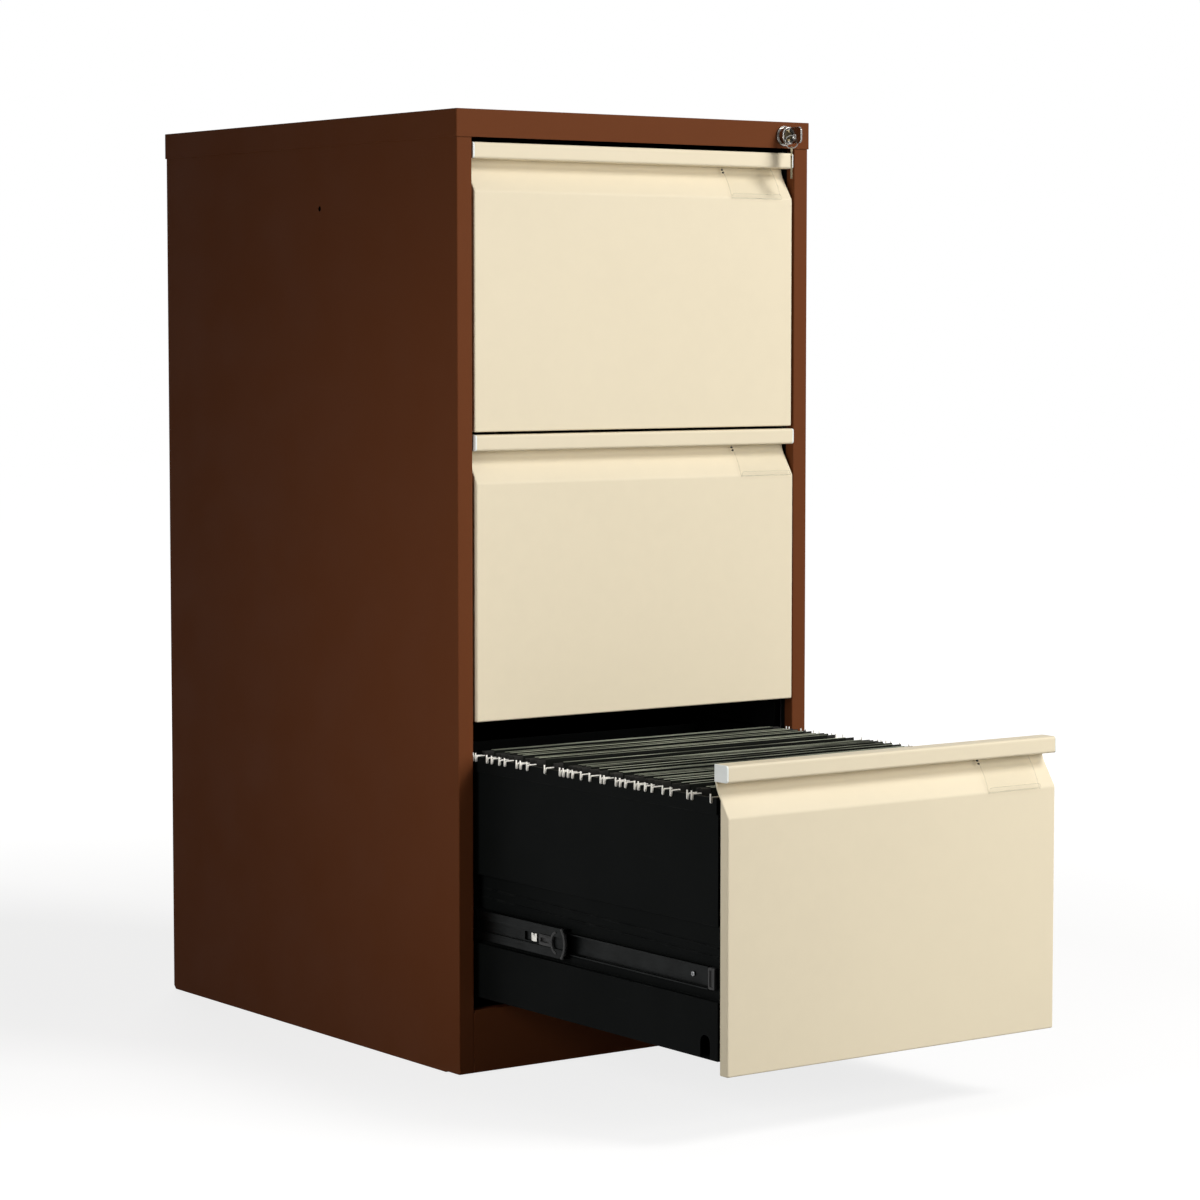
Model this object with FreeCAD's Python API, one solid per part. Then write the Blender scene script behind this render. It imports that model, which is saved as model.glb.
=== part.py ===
import FreeCAD, Part
import math
import os
from FreeCAD import Vector

# Steel filing cabinet with three drawers. The bottom drawer stands open and holds hanging files.
# Millimetres. X runs left to right, Y runs front to back, Z runs up, and z = 0 is the floor.
# The origin is the centre of the carcass footprint.

# Overall sizes
WIDTH = 470.0
DEPTH = 622.0
HEIGHT = 1016.0
FRONT_Y = -DEPTH / 2
BACK_Y = DEPTH / 2

# Sheet steel
SHEET = 0.9
BACK_SHEET = 0.8
CAP_GAP = 0.3
BEND = 1.2

# How far a cutting tool runs past the sheet that it cuts
PAST = 1.0

# Top cap
CAP_SKIRT = 29.0

# Carcass walls, inside the top cap
BODY_X = WIDTH / 2 - SHEET - CAP_GAP
BODY_Y = DEPTH / 2 - SHEET - CAP_GAP
BODY_TOP = HEIGHT - SHEET
STILE_W = 18.8
STILE_RETURN = 19.8
OPENING_X = BODY_X - STILE_W
FOOT_RELIEF = 1.2
FOOT_RELIEF_LENGTH = 26.0
CORNER_CUT = 5.0
LINK_HOLE_R = 2.75
LINK_HOLE_BEHIND = 275.0
LINK_HOLE_DOWN = 96.5
LINK_HOLE_Y = FRONT_Y + LINK_HOLE_BEHIND
LINK_HOLE_Z = HEIGHT - LINK_HOLE_DOWN

# Plinth and base
PLINTH_TOP = 68.0
PLINTH_DEPTH = 24.8
PLINTH_SLIT_W = 1.2
PLINTH_SLIT_H = 3.0
PAN_FLOOR = 14.0
PAN_LIP = 16.0
PAN_UPTURN = 20.0
FOOT_SIDE_INSET = 45.0
FOOT_END_INSET = 42.5
FOOT_X = WIDTH / 2 - FOOT_SIDE_INSET
FOOT_Y = DEPTH / 2 - FOOT_END_INSET
FOOT_DISC_R = 13.0
FOOT_DISC_T = 4.0
FOOT_STEM_R = 4.0
FOOT_STEM_TOP = 34.0
FOOT_NUT_FLATS = 13.0
FOOT_NUT_T = 6.0
FOOT_HOLE_GAP = 0.2

# Rivets that hold the back panel
RIVET_HEAD_R = 4.0
RIVET_HEAD_T = 1.2
RIVET_SHANK_R = 2.4
RIVET_HOLE_R = 2.5
RIVET_INSET = 10.8
RIVET_X = BODY_X - RIVET_INSET
RIVET_ROWS = 5
RIVET_LOWEST = 60.0
RIVET_DOWN = 76.0
RIVET_EDGE = 8.0

# Posts that carry the slides
POST_INSET = 2.0
POST_SET_BACK = 30.0
POST_FROM_BACK = 70.0
POST_FACE_X = OPENING_X - POST_INSET
POST_FRONT_Y = FRONT_Y + POST_SET_BACK
POST_REAR_Y = BACK_Y - POST_FROM_BACK
POST_WIDTH = 40.0

# Drawers: gaps round the fronts, and how far each stands open at rest
GAP_BETWEEN = 3.0
GAP_LOW = 2.0
GAP_TOP = 5.0
GAP_SIDE = 3.0
OPEN_BY = (("bottom", 433.0), ("middle", 3.0), ("top", 0.0))
OPENING_H = HEIGHT - CAP_SKIRT - PLINTH_TOP
PITCH = (OPENING_H - GAP_LOW - GAP_TOP + GAP_BETWEEN) / len(OPEN_BY)
DRAWERS = [(name, PLINTH_TOP + GAP_LOW + PITCH * k, out) for k, (name, out) in enumerate(OPEN_BY)]

# Drawer fronts
FACE_SET_BACK = 1.0
FACE_Y = FRONT_Y + FACE_SET_BACK
FRONT_X = OPENING_X - GAP_SIDE
FRONT_H = PITCH - GAP_BETWEEN
FRONT_FLANGE = 11.6
FRONT_EDGE_R = 1.5
FOLD_DOWN = 51.0
FOLD_H = FRONT_H - FOLD_DOWN
FOLD_R = 5.0

# Handles
HANDLE_H = 17.0
HANDLE_D = 20.0
HANDLE_R = 2.6
HANDLE_INSET = 0.5
HANDLE_END_X = FRONT_X - HANDLE_INSET
END_CAP_T = 2.0
END_CAP_EDGE = 0.7
END_CAP_PLUG = 8.0
END_CAP_PLUG_GAP = 0.3

# Recess under the handle: straight slope back and up from the fold, then a curve up to the handle
SLOPE_BACK = 14.6
SLOPE_UP = 22.2
RECESS_BACK = HANDLE_D - 0.4
RECESS_UP = FOLD_DOWN - HANDLE_H

# Clear label holder, as (back from the face, up from the fold), and the room at its right on each drawer
LABEL_T = 1.0
LABEL_W = 69.0
LABEL_CURVE = ((17.3, 33.6), (11.3, 25.0), (5.2, 16.5), (1.3, 7.0), (-1.4, 0.4))
LABEL_POINTS = 13
LABEL_LIP = 1.6
LABEL_FOOT = 2.6
LABEL_FOOT_H = 0.8
LABEL_RIGHT = {"bottom": 23.5, "middle": 5.0, "top": 17.0}

# Telescopic slides. U runs from the post face towards the tray, W is the height above the slide's axis.
SLIDE_ROOM = 13.0
SLIDE_AXIS = 90.5
SLIDE_T = 1.2

# Tray
TRAY_SIDE_GAP = 6.0
TRAY_SET_BACK = 22.0
TRAY_REAR_ROOM = 26.0
TRAY_X = POST_FACE_X - TRAY_SIDE_GAP
TRAY_RECESS_X = POST_FACE_X - SLIDE_ROOM
TRAY_FRONT = FACE_Y + TRAY_SET_BACK
TRAY_BACK = BACK_Y - TRAY_REAR_ROOM
TRAY_BOTTOM = 11.5
RECESS_BELOW = 21.5
RECESS_ABOVE = 52.5
RECESS_LOW = SLIDE_AXIS - RECESS_BELOW
RECESS_HIGH = SLIDE_AXIS + RECESS_ABOVE
RAIL_DOWN = 34.0
RAIL_H = 16.0
RAIL_OUT = 2.0
RAIL_TOP = FRONT_H - RAIL_DOWN
RAIL_LOW = RAIL_TOP - RAIL_H
RAIL_X = TRAY_X + RAIL_OUT
BACK_DOWN = 6.0
FRONT_DOWN = 38.0
BRACKET_X = 120.0
BRACKET_W = 30.0
NOTCH_BEHIND = 12.0
NOTCH_WIDTH = 15.6
NOTCH_TOP = 35.0
RIB_ENDS = ((29.3, 38.5), (19.8, 29.0))
RIB_T = 1.0
RIB_H = 1.6
RIB_FRONT_ROOM = 8.0
RIB_REAR_ROOM = 15.0

# Catch lug on the right side of each tray
LUG_DOWN = 122.0
LUG_H = 6.0
LUG_GAP = 1.5
LUG_BEHIND = 4.0
LUG_LENGTH = 6.0
LUG_LOW = FRONT_H - LUG_DOWN
LUG_X = POST_FACE_X - LUG_GAP

# Outer slide members, on the posts
OUTER_HALF = 20.0
OUTER_LIP = 9.0
OUTER_SET_BACK = 19.0
OUTER_FROM_BACK = 39.0
OUTER_FRONT = FRONT_Y + OUTER_SET_BACK
OUTER_BACK = BACK_Y - OUTER_FROM_BACK

# Middle slide members, with the drawer shut
MIDDLE_HALF = 15.5
MIDDLE_BAND = 7.6
MIDDLE_U = 2.0
MIDDLE_STEP = 2.0
MIDDLE_LIP = 11.0
MIDDLE_BEHIND = 40.5
MIDDLE_SHORT = 2.5
MIDDLE_FRONT = OUTER_FRONT + MIDDLE_BEHIND
MIDDLE_BACK = OUTER_BACK - MIDDLE_SHORT
MIDDLE_SLOT_FRONT = 17.0
MIDDLE_SLOT_LENGTH = 33.0
MIDDLE_SLOT_HALF = 4.6

# Inner slide members, on the tray
INNER_HALF = 11.2
INNER_LIP = 7.4
INNER_FRONT_ROOM = 18.0
INNER_REAR_ROOM = 15.0

# Ball cages between the middle and inner slide members
CAGE_BEHIND = 143.0
CAGE_LENGTH = 220.0
CAGE_T = 0.8
CAGE_HALF = 13.2
CAGE_U = 6.0
CAGE_LIP = 11.0
BALL_R = 1.25
BALL_U = 9.2
BALL_ROW = 12.75
BALL_PITCH = 30.0

# Clips at the front end of the middle slide members
CLIP_LENGTH = 22.0
CLIP_T = 1.4
CLIP_HALF = 6.2
CLIP_EAR = 14.0
CLIP_NOSE = 1.5
CLIP_NOSE_U = 5.6

# Shares of a drawer's travel made by the members in between
MIDDLE_SHARE = 0.5
CAGE_SHARE = 0.75

# Lock
LOCK_INSET = 16.0
LOCK_DOWN = 15.5
LOCK_X = OPENING_X - LOCK_INSET
LOCK_Z = HEIGHT - LOCK_DOWN
LOCK_FLANGE_R = 11.0
LOCK_FLANGE_T = 2.0
LOCK_TUBE_R = 9.7
LOCK_TUBE_T = 8.5
LOCK_BARREL_R = 8.4
LOCK_BARREL_L = 20.5
LOCK_BARREL_BACK = FRONT_Y + LOCK_BARREL_L
LOCK_BORE_R = 6.0
LOCK_RIM_R = 0.9
LOCK_RECESS_R = 7.6
LOCK_RECESS_T = 1.6
LOCK_NUT_R = 10.5
LOCK_NUT_T = 3.0
LOCK_HOLE_GAP = 0.2
LOCK_FRONT = FRONT_Y - LOCK_FLANGE_T - LOCK_TUBE_T
PLUG_FRONT = LOCK_FRONT + LOCK_RECESS_T
PLUG_GAP = 0.05
TANG = 7.0
TANG_GAP = 0.05
CAM_GAP = 2.0
CAM_FRONT = LOCK_BARREL_BACK + CAM_GAP
CAM_T = 2.0
CAM_LOW_R = 6.0
CAM_STEPS = 18
CAM_DWELL = 8.0
CAM_FALL_END = 120
LOCK_TURN = 90.0
BOLT_LIFT = 4.5
CAM_COLLAR_R = 4.6
CAM_COLLAR_T = 1.4

# Lock bolt, the vertical bar beside the drawers
BOLT_BESIDE = 2.0
BOLT_W = 12.0
BOLT_LEFT = OPENING_X + BOLT_BESIDE
BOLT_RIGHT = BOLT_LEFT + BOLT_W
BOLT_ABOVE = 50.0
BOLT_LOW = DRAWERS[0][1] + BOLT_ABOVE
BOLT_TAB_REACH = 3.0
BOLT_TAB_H = 8.0
BOLT_SHORT = 0.5
BOLT_NUB_GAP = 0.6
BOLT_NUB_HALF = 1.0
BOLT_NUB_H = 1.2
BOLT_HEAD_H = 1.2
BOLT_HEAD_REACH = 4.0
GUIDE_ABOVE = {"bottom": 90.0, "middle": 185.0, "top": 250.0}
GUIDE_H = 10.0
GUIDE_GAP = 0.4
GUIDE_T = 0.8

# Rail behind the front skirt of the cap
RAIL_DEPTH = 18.0
LOCK_RAIL_H = 28.0

# Keys
KEY_T = 2.0
KEY_BLADE_H = 7.4
KEY_BLADE_L = 22.0
KEY_SLOT_GAP = 0.15
KEY_BOW_L = 20.0
KEY_BOW_H = 18.0
KEY_BOW_R = 5.0
KEY_HOLE_R = 3.0
KEY_BOW_GAP = 0.5
KEY_HOLE_AHEAD = 9.0
KEY_HOLE_BELOW = 1.5
KEY_HOLE = Vector(LOCK_X, LOCK_FRONT - KEY_BOW_GAP - KEY_HOLE_AHEAD, LOCK_Z - KEY_HOLE_BELOW)
RING_R = 7.0
RING_WIRE_R = 0.6
RING_TURN = 38.0
RING_LEAN = 55.0
RING_GAP = 0.3
SPARE_BOW_R = 7.4
SPARE_HOLE_R = 2.4
SPARE_HOLE_DOWN = 3.4
SPARE_LENGTH = 35.0
SPARE_BLADE_W = 7.0
SPARE_TOOTH = 2.0
SPARE_TEETH = ((18.0, 1.6), (22.5, 2.6), (27.0, 1.4), (31.0, 2.2))

# Hanging files, as distances of the front bar and the back bar behind the tray's front wall
FILES = ((6.0, 36.4), (43.4, 70.4), (83.4, 101.4), (112.4, 123.4), (129.4, 145.4),
         (154.4, 161.4), (181.4, 187.4), (206.4, 221.4), (236.4, 244.4), (252.4, 258.4),
         (285.4, 317.4), (329.4, 336.4), (358.4, 368.4), (382.4, 391.4), (412.4, 417.4))
BAR_T = 1.5
BAR_UP = 5.0
BAR_H = 12.0
BAR_TOP = RAIL_TOP + BAR_UP
BAR_LOW = BAR_TOP - BAR_H
BAR_END_GAP = 3.0
BAR_INSIDE_X = TRAY_X - BAR_END_GAP
HOOK_GAP = 0.4
HOOK_W = 2.8
HOOK_DOWN = 9.5
HOOK_UP = 6.5
HOOK_RAMP = 4.0
POCKET_SIDE_ROOM = 19.0
POCKET_X = TRAY_X - POCKET_SIDE_ROOM
POCKET_T = 0.6
POCKET_LOW = 32.0
POCKET_HEM_GAP = 0.1


def box(x0, x1, y0, y1, z0, z1):
    corner = Vector(min(x0, x1), min(y0, y1), min(z0, z1))
    return Part.makeBox(abs(x1 - x0), abs(y1 - y0), abs(z1 - z0), corner)


def cylinder_y(x, z, radius, y0, y1):
    return Part.makeCylinder(radius, y1 - y0, Vector(x, y0, z), Vector(0, 1, 0))


def cylinder_z(x, y, radius, z0, z1):
    return Part.makeCylinder(radius, z1 - z0, Vector(x, y, z0))


def cylinder_x(y, z, radius, x0, x1):
    return Part.makeCylinder(radius, x1 - x0, Vector(x0, y, z), Vector(1, 0, 0))


def extrude(points, direction):
    return Part.Face(Part.makePolygon(list(points) + [points[0]])).extrude(direction)


def prism_x(points, x0, x1):
    """Outline of (y, z) points, drawn out along X."""
    return extrude([Vector(x0, y, z) for y, z in points], Vector(x1 - x0, 0, 0))


def profile_x(runs, x0, x1):
    """Outline of runs through (y, z) points, two for a line and three for an arc, drawn out along X."""
    edges = []
    for run in runs:
        points = [Vector(x0, y, z) for y, z in run]
        curve = Part.Arc(*points) if len(points) == 3 else Part.LineSegment(*points)
        edges.append(curve.toShape())
    return Part.Face(Part.Wire(edges)).extrude(Vector(x1 - x0, 0, 0))


def prism_y(points, y0, y1):
    """Outline of (x, z) points, drawn out along Y."""
    return extrude([Vector(x, y0, z) for x, z in points], Vector(0, y1 - y0, 0))


def prism_z(points, z0, z1):
    """Outline of (x, y) points, drawn out along Z."""
    return extrude([Vector(x, y, z0) for x, y in points], Vector(0, 0, z1 - z0))


def fuse(shapes):
    return shapes[0].multiFuse(shapes[1:]).removeSplitter()


def mirrored(shape):
    return shape.mirror(Vector(0, 0, 0), Vector(1, 0, 0))


def moved(shape, x=0.0, y=0.0, z=0.0):
    copy = shape.copy()
    copy.translate(Vector(x, y, z))
    return copy


def round_upright(shape, radius, places):
    """Round the upright edges that stand at the given (x, y) places."""
    edges = []
    for edge in shape.Edges:
        a, b = edge.Vertexes[0].Point, edge.Vertexes[-1].Point
        upright = abs(a.x - b.x) < 1e-6 and abs(a.y - b.y) < 1e-6
        if upright and any(abs(a.x - x) < 1e-6 and abs(a.y - y) < 1e-6 for x, y in places):
            edges.append(edge)
    return shape.makeFillet(radius, edges)


def sheet_strip(points, thickness):
    """Closed outline of a bent strip: the points, then the same points set off to the strip's left side."""
    offset = []
    for i, point in enumerate(points):
        before = points[max(i - 1, 0)]
        after = points[min(i + 1, len(points) - 1)]
        first = unit(before, point) if i else unit(point, after)
        second = unit(point, after) if i < len(points) - 1 else first
        normal = (-(first[1] + second[1]) / 2, (first[0] + second[0]) / 2)
        size = normal[0] ** 2 + normal[1] ** 2
        offset.append((point[0] + normal[0] * thickness / size, point[1] + normal[1] * thickness / size))
    return list(points) + offset[::-1]


def unit(a, b):
    length = ((b[0] - a[0]) ** 2 + (b[1] - a[1]) ** 2) ** 0.5
    return ((b[0] - a[0]) / length, (b[1] - a[1]) / length)


def save(name, solids):
    shape = solids[0] if len(solids) == 1 else Part.makeCompound(solids)
    if not shape.isValid() or any(solid.Volume <= 0 for solid in solids):
        raise RuntimeError("bad solid in " + name)
    shape.exportStep("parts/" + name + ".step")
    sizes = shape.BoundBox
    print("%-26s %2d  x %.1f..%.1f  y %.1f..%.1f  z %.1f..%.1f" % (
        name, len(shape.Solids), sizes.XMin, sizes.XMax, sizes.YMin, sizes.YMax, sizes.ZMin, sizes.ZMax))


# Carcass

def side_panel():
    """Left side: wall, front stile with its return, rear flange and the ledges at foot and top."""
    inside = -BODY_X + SHEET
    wall = [(-BODY_X, -BODY_Y), (-OPENING_X, -BODY_Y), (-OPENING_X, -BODY_Y + STILE_RETURN),
            (-OPENING_X - SHEET, -BODY_Y + STILE_RETURN), (-OPENING_X - SHEET, -BODY_Y + SHEET),
            (inside, -BODY_Y + SHEET), (inside, BODY_Y - SHEET),
            (-POST_FACE_X, BODY_Y - SHEET), (-POST_FACE_X, BODY_Y), (-BODY_X, BODY_Y)]
    panel = prism_z(wall, 0.0, BODY_TOP)
    panel = round_upright(panel, BEND, [(-BODY_X, -BODY_Y), (-OPENING_X, -BODY_Y), (-BODY_X, BODY_Y)])
    front, back = -BODY_Y + FOOT_RELIEF_LENGTH, BODY_Y - SHEET - BACK_SHEET
    foot = box(inside, -POST_FACE_X, front, back, 0.0, SHEET)
    top = box(inside, -POST_FACE_X, front, back, BODY_TOP - SHEET, BODY_TOP)
    panel = fuse([panel, foot, top])
    relief = box(-BODY_X - PAST, -OPENING_X + PAST, -BODY_Y - PAST, front, -PAST, FOOT_RELIEF)
    low = BODY_Y - CORNER_CUT
    corner = prism_x([(low, 0), (BODY_Y + PAST, CORNER_CUT + PAST), (BODY_Y + PAST, -PAST), (low, -PAST)],
                     -BODY_X - PAST, -POST_FACE_X + PAST)
    hole = cylinder_x(LINK_HOLE_Y, LINK_HOLE_Z, LINK_HOLE_R, -BODY_X - PAST, inside + PAST)
    rivet_holes = [cylinder_y(-RIVET_X, z, RIVET_HOLE_R, back - PAST, BODY_Y + PAST) for z in rivet_heights()]
    return panel.cut(Part.makeCompound([relief, corner, hole] + rivet_holes))


def rivet_heights():
    step = (HEIGHT - RIVET_DOWN - RIVET_LOWEST) / (RIVET_ROWS - 1)
    return [RIVET_LOWEST + step * k for k in range(RIVET_ROWS)]


def back_panel():
    face = BODY_Y - SHEET
    half = RIVET_X + RIVET_EDGE
    panel = box(-half, half, face - BACK_SHEET, face, SHEET, BODY_TOP - SHEET)
    holes = [cylinder_y(x, z, RIVET_HOLE_R, face - BACK_SHEET - PAST, face + PAST)
             for x in (-RIVET_X, RIVET_X) for z in rivet_heights()]
    return panel.cut(Part.makeCompound(holes))


def back_rivets():
    shanks = []
    inner_face = BODY_Y - SHEET - BACK_SHEET
    for x in (-RIVET_X, RIVET_X):
        for z in rivet_heights():
            shank = cylinder_y(x, z, RIVET_SHANK_R, inner_face, BODY_Y)
            head = cylinder_y(x, z, RIVET_HEAD_R, BODY_Y, BODY_Y + RIVET_HEAD_T)
            tail = cylinder_y(x, z, RIVET_HEAD_R, inner_face - RIVET_HEAD_T, inner_face)
            shanks.append(fuse([shank, head, tail]))
    return shanks


def top_cap():
    half_x, half_y = WIDTH / 2, DEPTH / 2
    low = HEIGHT - CAP_SKIRT
    shell = box(-half_x, half_x, -half_y, half_y, low, HEIGHT)
    corners = [(x, y) for x in (-half_x, half_x) for y in (-half_y, half_y)]
    shell = round_upright(shell, BEND, corners)
    top_edges = [edge for edge in shell.Edges if abs(edge.BoundBox.ZMin - HEIGHT) < 1e-6]
    shell = shell.makeFillet(BEND / 2, top_edges)
    hollow = box(SHEET - half_x, half_x - SHEET, SHEET - half_y, half_y - SHEET, low - PAST, HEIGHT - SHEET)
    hole = cylinder_y(LOCK_X, LOCK_Z, LOCK_BARREL_R + LOCK_HOLE_GAP, -half_y - PAST, -half_y + SHEET + PAST)
    return shell.cut(Part.makeCompound([hollow, hole]))


def lock_rail():
    """Rail between the stiles, behind the front skirt of the cap."""
    front = -BODY_Y + SHEET
    back = front + RAIL_DEPTH
    top = BODY_TOP - SHEET
    foot = HEIGHT - LOCK_RAIL_H
    web = box(-OPENING_X, OPENING_X, front, front + SHEET, foot, top)
    low = box(-OPENING_X, OPENING_X, front, back, foot, foot + SHEET)
    high = box(-OPENING_X, OPENING_X, front, back, top - SHEET, top)
    hole = cylinder_y(LOCK_X, LOCK_Z, LOCK_BARREL_R + LOCK_HOLE_GAP, front - PAST, front + SHEET + PAST)
    return fuse([web, low, high]).cut(hole)


def plinth_front():
    front = -BODY_Y
    back = front + PLINTH_DEPTH
    face = box(-OPENING_X, OPENING_X, front, front + SHEET, FOOT_RELIEF, PLINTH_TOP)
    shelf = box(-OPENING_X, OPENING_X, front, back, PLINTH_TOP - SHEET, PLINTH_TOP)
    leg = box(-OPENING_X, OPENING_X, back - SHEET, back, PAN_FLOOR + SHEET, PLINTH_TOP)
    slit_low, slit_high = PLINTH_TOP - PLINTH_SLIT_H, PLINTH_TOP + PAST
    slits = [box(x, x + PLINTH_SLIT_W, front - PAST, front + SHEET + PAST, slit_low, slit_high)
             for x in (-OPENING_X, OPENING_X - PLINTH_SLIT_W)]
    return fuse([face, shelf, leg]).cut(Part.makeCompound(slits))


def base_pan():
    """Floor of the carcass, turned down all round to stand on the ground."""
    x, t = POST_FACE_X, SHEET
    front, back = -BODY_Y + FOOT_RELIEF_LENGTH, BODY_Y - SHEET - BACK_SHEET
    rim = box(-x, x, front, back, 0.0, PAN_FLOOR)
    rim = rim.cut(box(t - x, x - t, front + t, back - t, -PAST, PAN_FLOOR + PAST))
    floor = box(-x, x, front - PAN_LIP, back, PAN_FLOOR, PAN_FLOOR + t)
    upturn = box(-x, x, back - t, back, PAN_FLOOR, PAN_FLOOR + PAN_UPTURN)
    pan = fuse([floor, rim, upturn])
    holes = [cylinder_z(x, y, FOOT_STEM_R + FOOT_HOLE_GAP, PAN_FLOOR - PAST, PAN_FLOOR + t + PAST)
             for x in (-FOOT_X, FOOT_X) for y in (-FOOT_Y, FOOT_Y)]
    return pan.cut(Part.makeCompound(holes))


def turned(radius, degrees):
    """Point at a radius, with the angle counted from the second axis towards minus the first."""
    arrow = FreeCAD.Rotation(Vector(0, 0, 1), degrees).multVec(Vector(0, radius, 0))
    return (arrow.x, arrow.y)


def hexagon(x, y, flats, z0, z1):
    radius = flats / 3 ** 0.5
    corners = [turned(radius, 60.0 * k) for k in range(6)]
    return prism_z([(x + a, y + b) for a, b in corners], z0, z1)


def levelling_feet():
    feet = []
    for x in (-FOOT_X, FOOT_X):
        for y in (-FOOT_Y, FOOT_Y):
            disc = cylinder_z(x, y, FOOT_DISC_R, 0.0, FOOT_DISC_T)
            stem = cylinder_z(x, y, FOOT_STEM_R, FOOT_DISC_T, FOOT_STEM_TOP)
            nut = hexagon(x, y, FOOT_NUT_FLATS, PAN_FLOOR - FOOT_NUT_T, PAN_FLOOR)
            feet.append(fuse([disc, stem, nut]))
    return feet


def post(front):
    """Left post: a channel with its web towards the drawers."""
    outer = -BODY_X + SHEET
    back = front + POST_WIDTH
    outline = [(-POST_FACE_X, front), (-POST_FACE_X, back), (outer, back), (outer, back - SHEET),
               (-POST_FACE_X - SHEET, back - SHEET), (-POST_FACE_X - SHEET, front + SHEET),
               (outer, front + SHEET), (outer, front)]
    return prism_z(outline, SHEET, BODY_TOP - SHEET)


# Slides, drawn for the left side of a drawer whose front starts at z = 0

def slide_profile(rows, front, back):
    """Boxes of a slide section, each given as (u low, u high, w low, w high)."""
    return fuse([box(-POST_FACE_X + u0, -POST_FACE_X + u1, front, back, SLIDE_AXIS + w0, SLIDE_AXIS + w1)
                 for u0, u1, w0, w1 in rows])


def slide_outer():
    h, t = OUTER_HALF, SLIDE_T
    rows = [(0, t, -h, h), (0, OUTER_LIP, h - t, h), (0, OUTER_LIP, -h, t - h)]
    member = slide_profile(rows, OUTER_FRONT, OUTER_BACK)
    stop = slide_profile([(0, OUTER_LIP, -h, h)], OUTER_BACK - t, OUTER_BACK)
    return fuse([member, stop])


def slide_middle():
    h, b, t = MIDDLE_HALF, MIDDLE_BAND, SLIDE_T
    low, high = MIDDLE_U, MIDDLE_U + MIDDLE_STEP
    rows = [(high, high + t, -b, b), (low, low + t, b, h), (low, low + t, -h, -b),
            (low, high + t, b - t, b), (low, high + t, -b, t - b),
            (low, MIDDLE_LIP, h - t, h), (low, MIDDLE_LIP, -h, t - h)]
    member = slide_profile(rows, MIDDLE_FRONT, MIDDLE_BACK)
    slot_front = MIDDLE_FRONT + CLIP_LENGTH + MIDDLE_SLOT_FRONT
    rows = [(high - PAST, high + t + PAST, -MIDDLE_SLOT_HALF, MIDDLE_SLOT_HALF)]
    return member.cut(slide_profile(rows, slot_front, slot_front + MIDDLE_SLOT_LENGTH))


def slide_inner():
    h, t = INNER_HALF, SLIDE_T
    rows = [(SLIDE_ROOM - t, SLIDE_ROOM, -h, h),
            (INNER_LIP, SLIDE_ROOM, h - t, h), (INNER_LIP, SLIDE_ROOM, -h, t - h)]
    return slide_profile(rows, TRAY_FRONT + INNER_FRONT_ROOM, TRAY_BACK - INNER_REAR_ROOM)


def slide_cage():
    h, t, front = CAGE_HALF, CAGE_T, MIDDLE_FRONT + CAGE_BEHIND
    rows = [(CAGE_U, CAGE_U + t, -h, h), (CAGE_U, CAGE_LIP, h - t, h), (CAGE_U, CAGE_LIP, -h, t - h)]
    cage = slide_profile(rows, front, front + CAGE_LENGTH)
    balls = []
    for k in range(int(CAGE_LENGTH / BALL_PITCH)):
        for w in (-BALL_ROW, BALL_ROW):
            centre = Vector(-POST_FACE_X + BALL_U, front + BALL_PITCH * (k + 0.5), SLIDE_AXIS + w)
            balls.append(Part.makeSphere(BALL_R, centre))
    return fuse([cage] + balls)


def slide_clip():
    """Bright clip in the band of the middle member, with a nose across the member's front end."""
    face = MIDDLE_U + MIDDLE_STEP
    nose_front = MIDDLE_FRONT - CLIP_NOSE
    back = face - CLIP_T
    plate = slide_profile([(back, face, -CLIP_HALF, CLIP_HALF)], nose_front, MIDDLE_FRONT + CLIP_LENGTH)
    nose = slide_profile([(back, CLIP_NOSE_U, -CLIP_EAR, CLIP_EAR)], nose_front, MIDDLE_FRONT)
    return fuse([plate, nose])


# Drawer, drawn shut with the bottom edge of its front at z = 0

def recess(inset):
    """Fold, end of the slope, middle and end of the curve, on a line this far behind the recess's face."""
    lean = math.atan2(SLOPE_BACK, SLOPE_UP)
    inward = (-math.cos(lean), math.sin(lean))
    run = (RECESS_BACK - SLOPE_BACK, RECESS_UP - SLOPE_UP)
    radius = (run[0] ** 2 + run[1] ** 2) / 2 / (run[0] * inward[0] + run[1] * inward[1])
    centre = (SLOPE_BACK + radius * inward[0], SLOPE_UP + radius * inward[1])
    start = math.atan2(-inward[1], -inward[0])
    end = math.atan2(RECESS_UP - centre[1], RECESS_BACK - centre[0])
    points = [(inset, -inset * math.tan(lean / 2))]
    for angle in (start, (start + end) / 2, end):
        reach = radius + inset
        points.append((centre[0] + reach * math.cos(angle), centre[1] + reach * math.sin(angle)))
    return [(FACE_Y + back, FOLD_H + up) for back, up in points]


def front_block(inset, low, half, rise):
    """Solid behind the front's face, drawn inset behind it, from the height low to rise above the recess."""
    fold, bend, middle, top = recess(inset)
    front, back = FACE_Y + inset, FACE_Y + RECESS_BACK + 2 * SHEET
    high = FRONT_H - HANDLE_H + rise
    runs = [[(front, low), fold], [fold, bend], [bend, middle, top], [top, (top[0] + SHEET, high)],
            [(top[0] + SHEET, high), (back, high)], [(back, high), (back, low)], [(back, low), (front, low)]]
    runs = [run for run in runs if run[0] != run[-1]]
    return profile_x(runs, -half, half)


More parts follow.
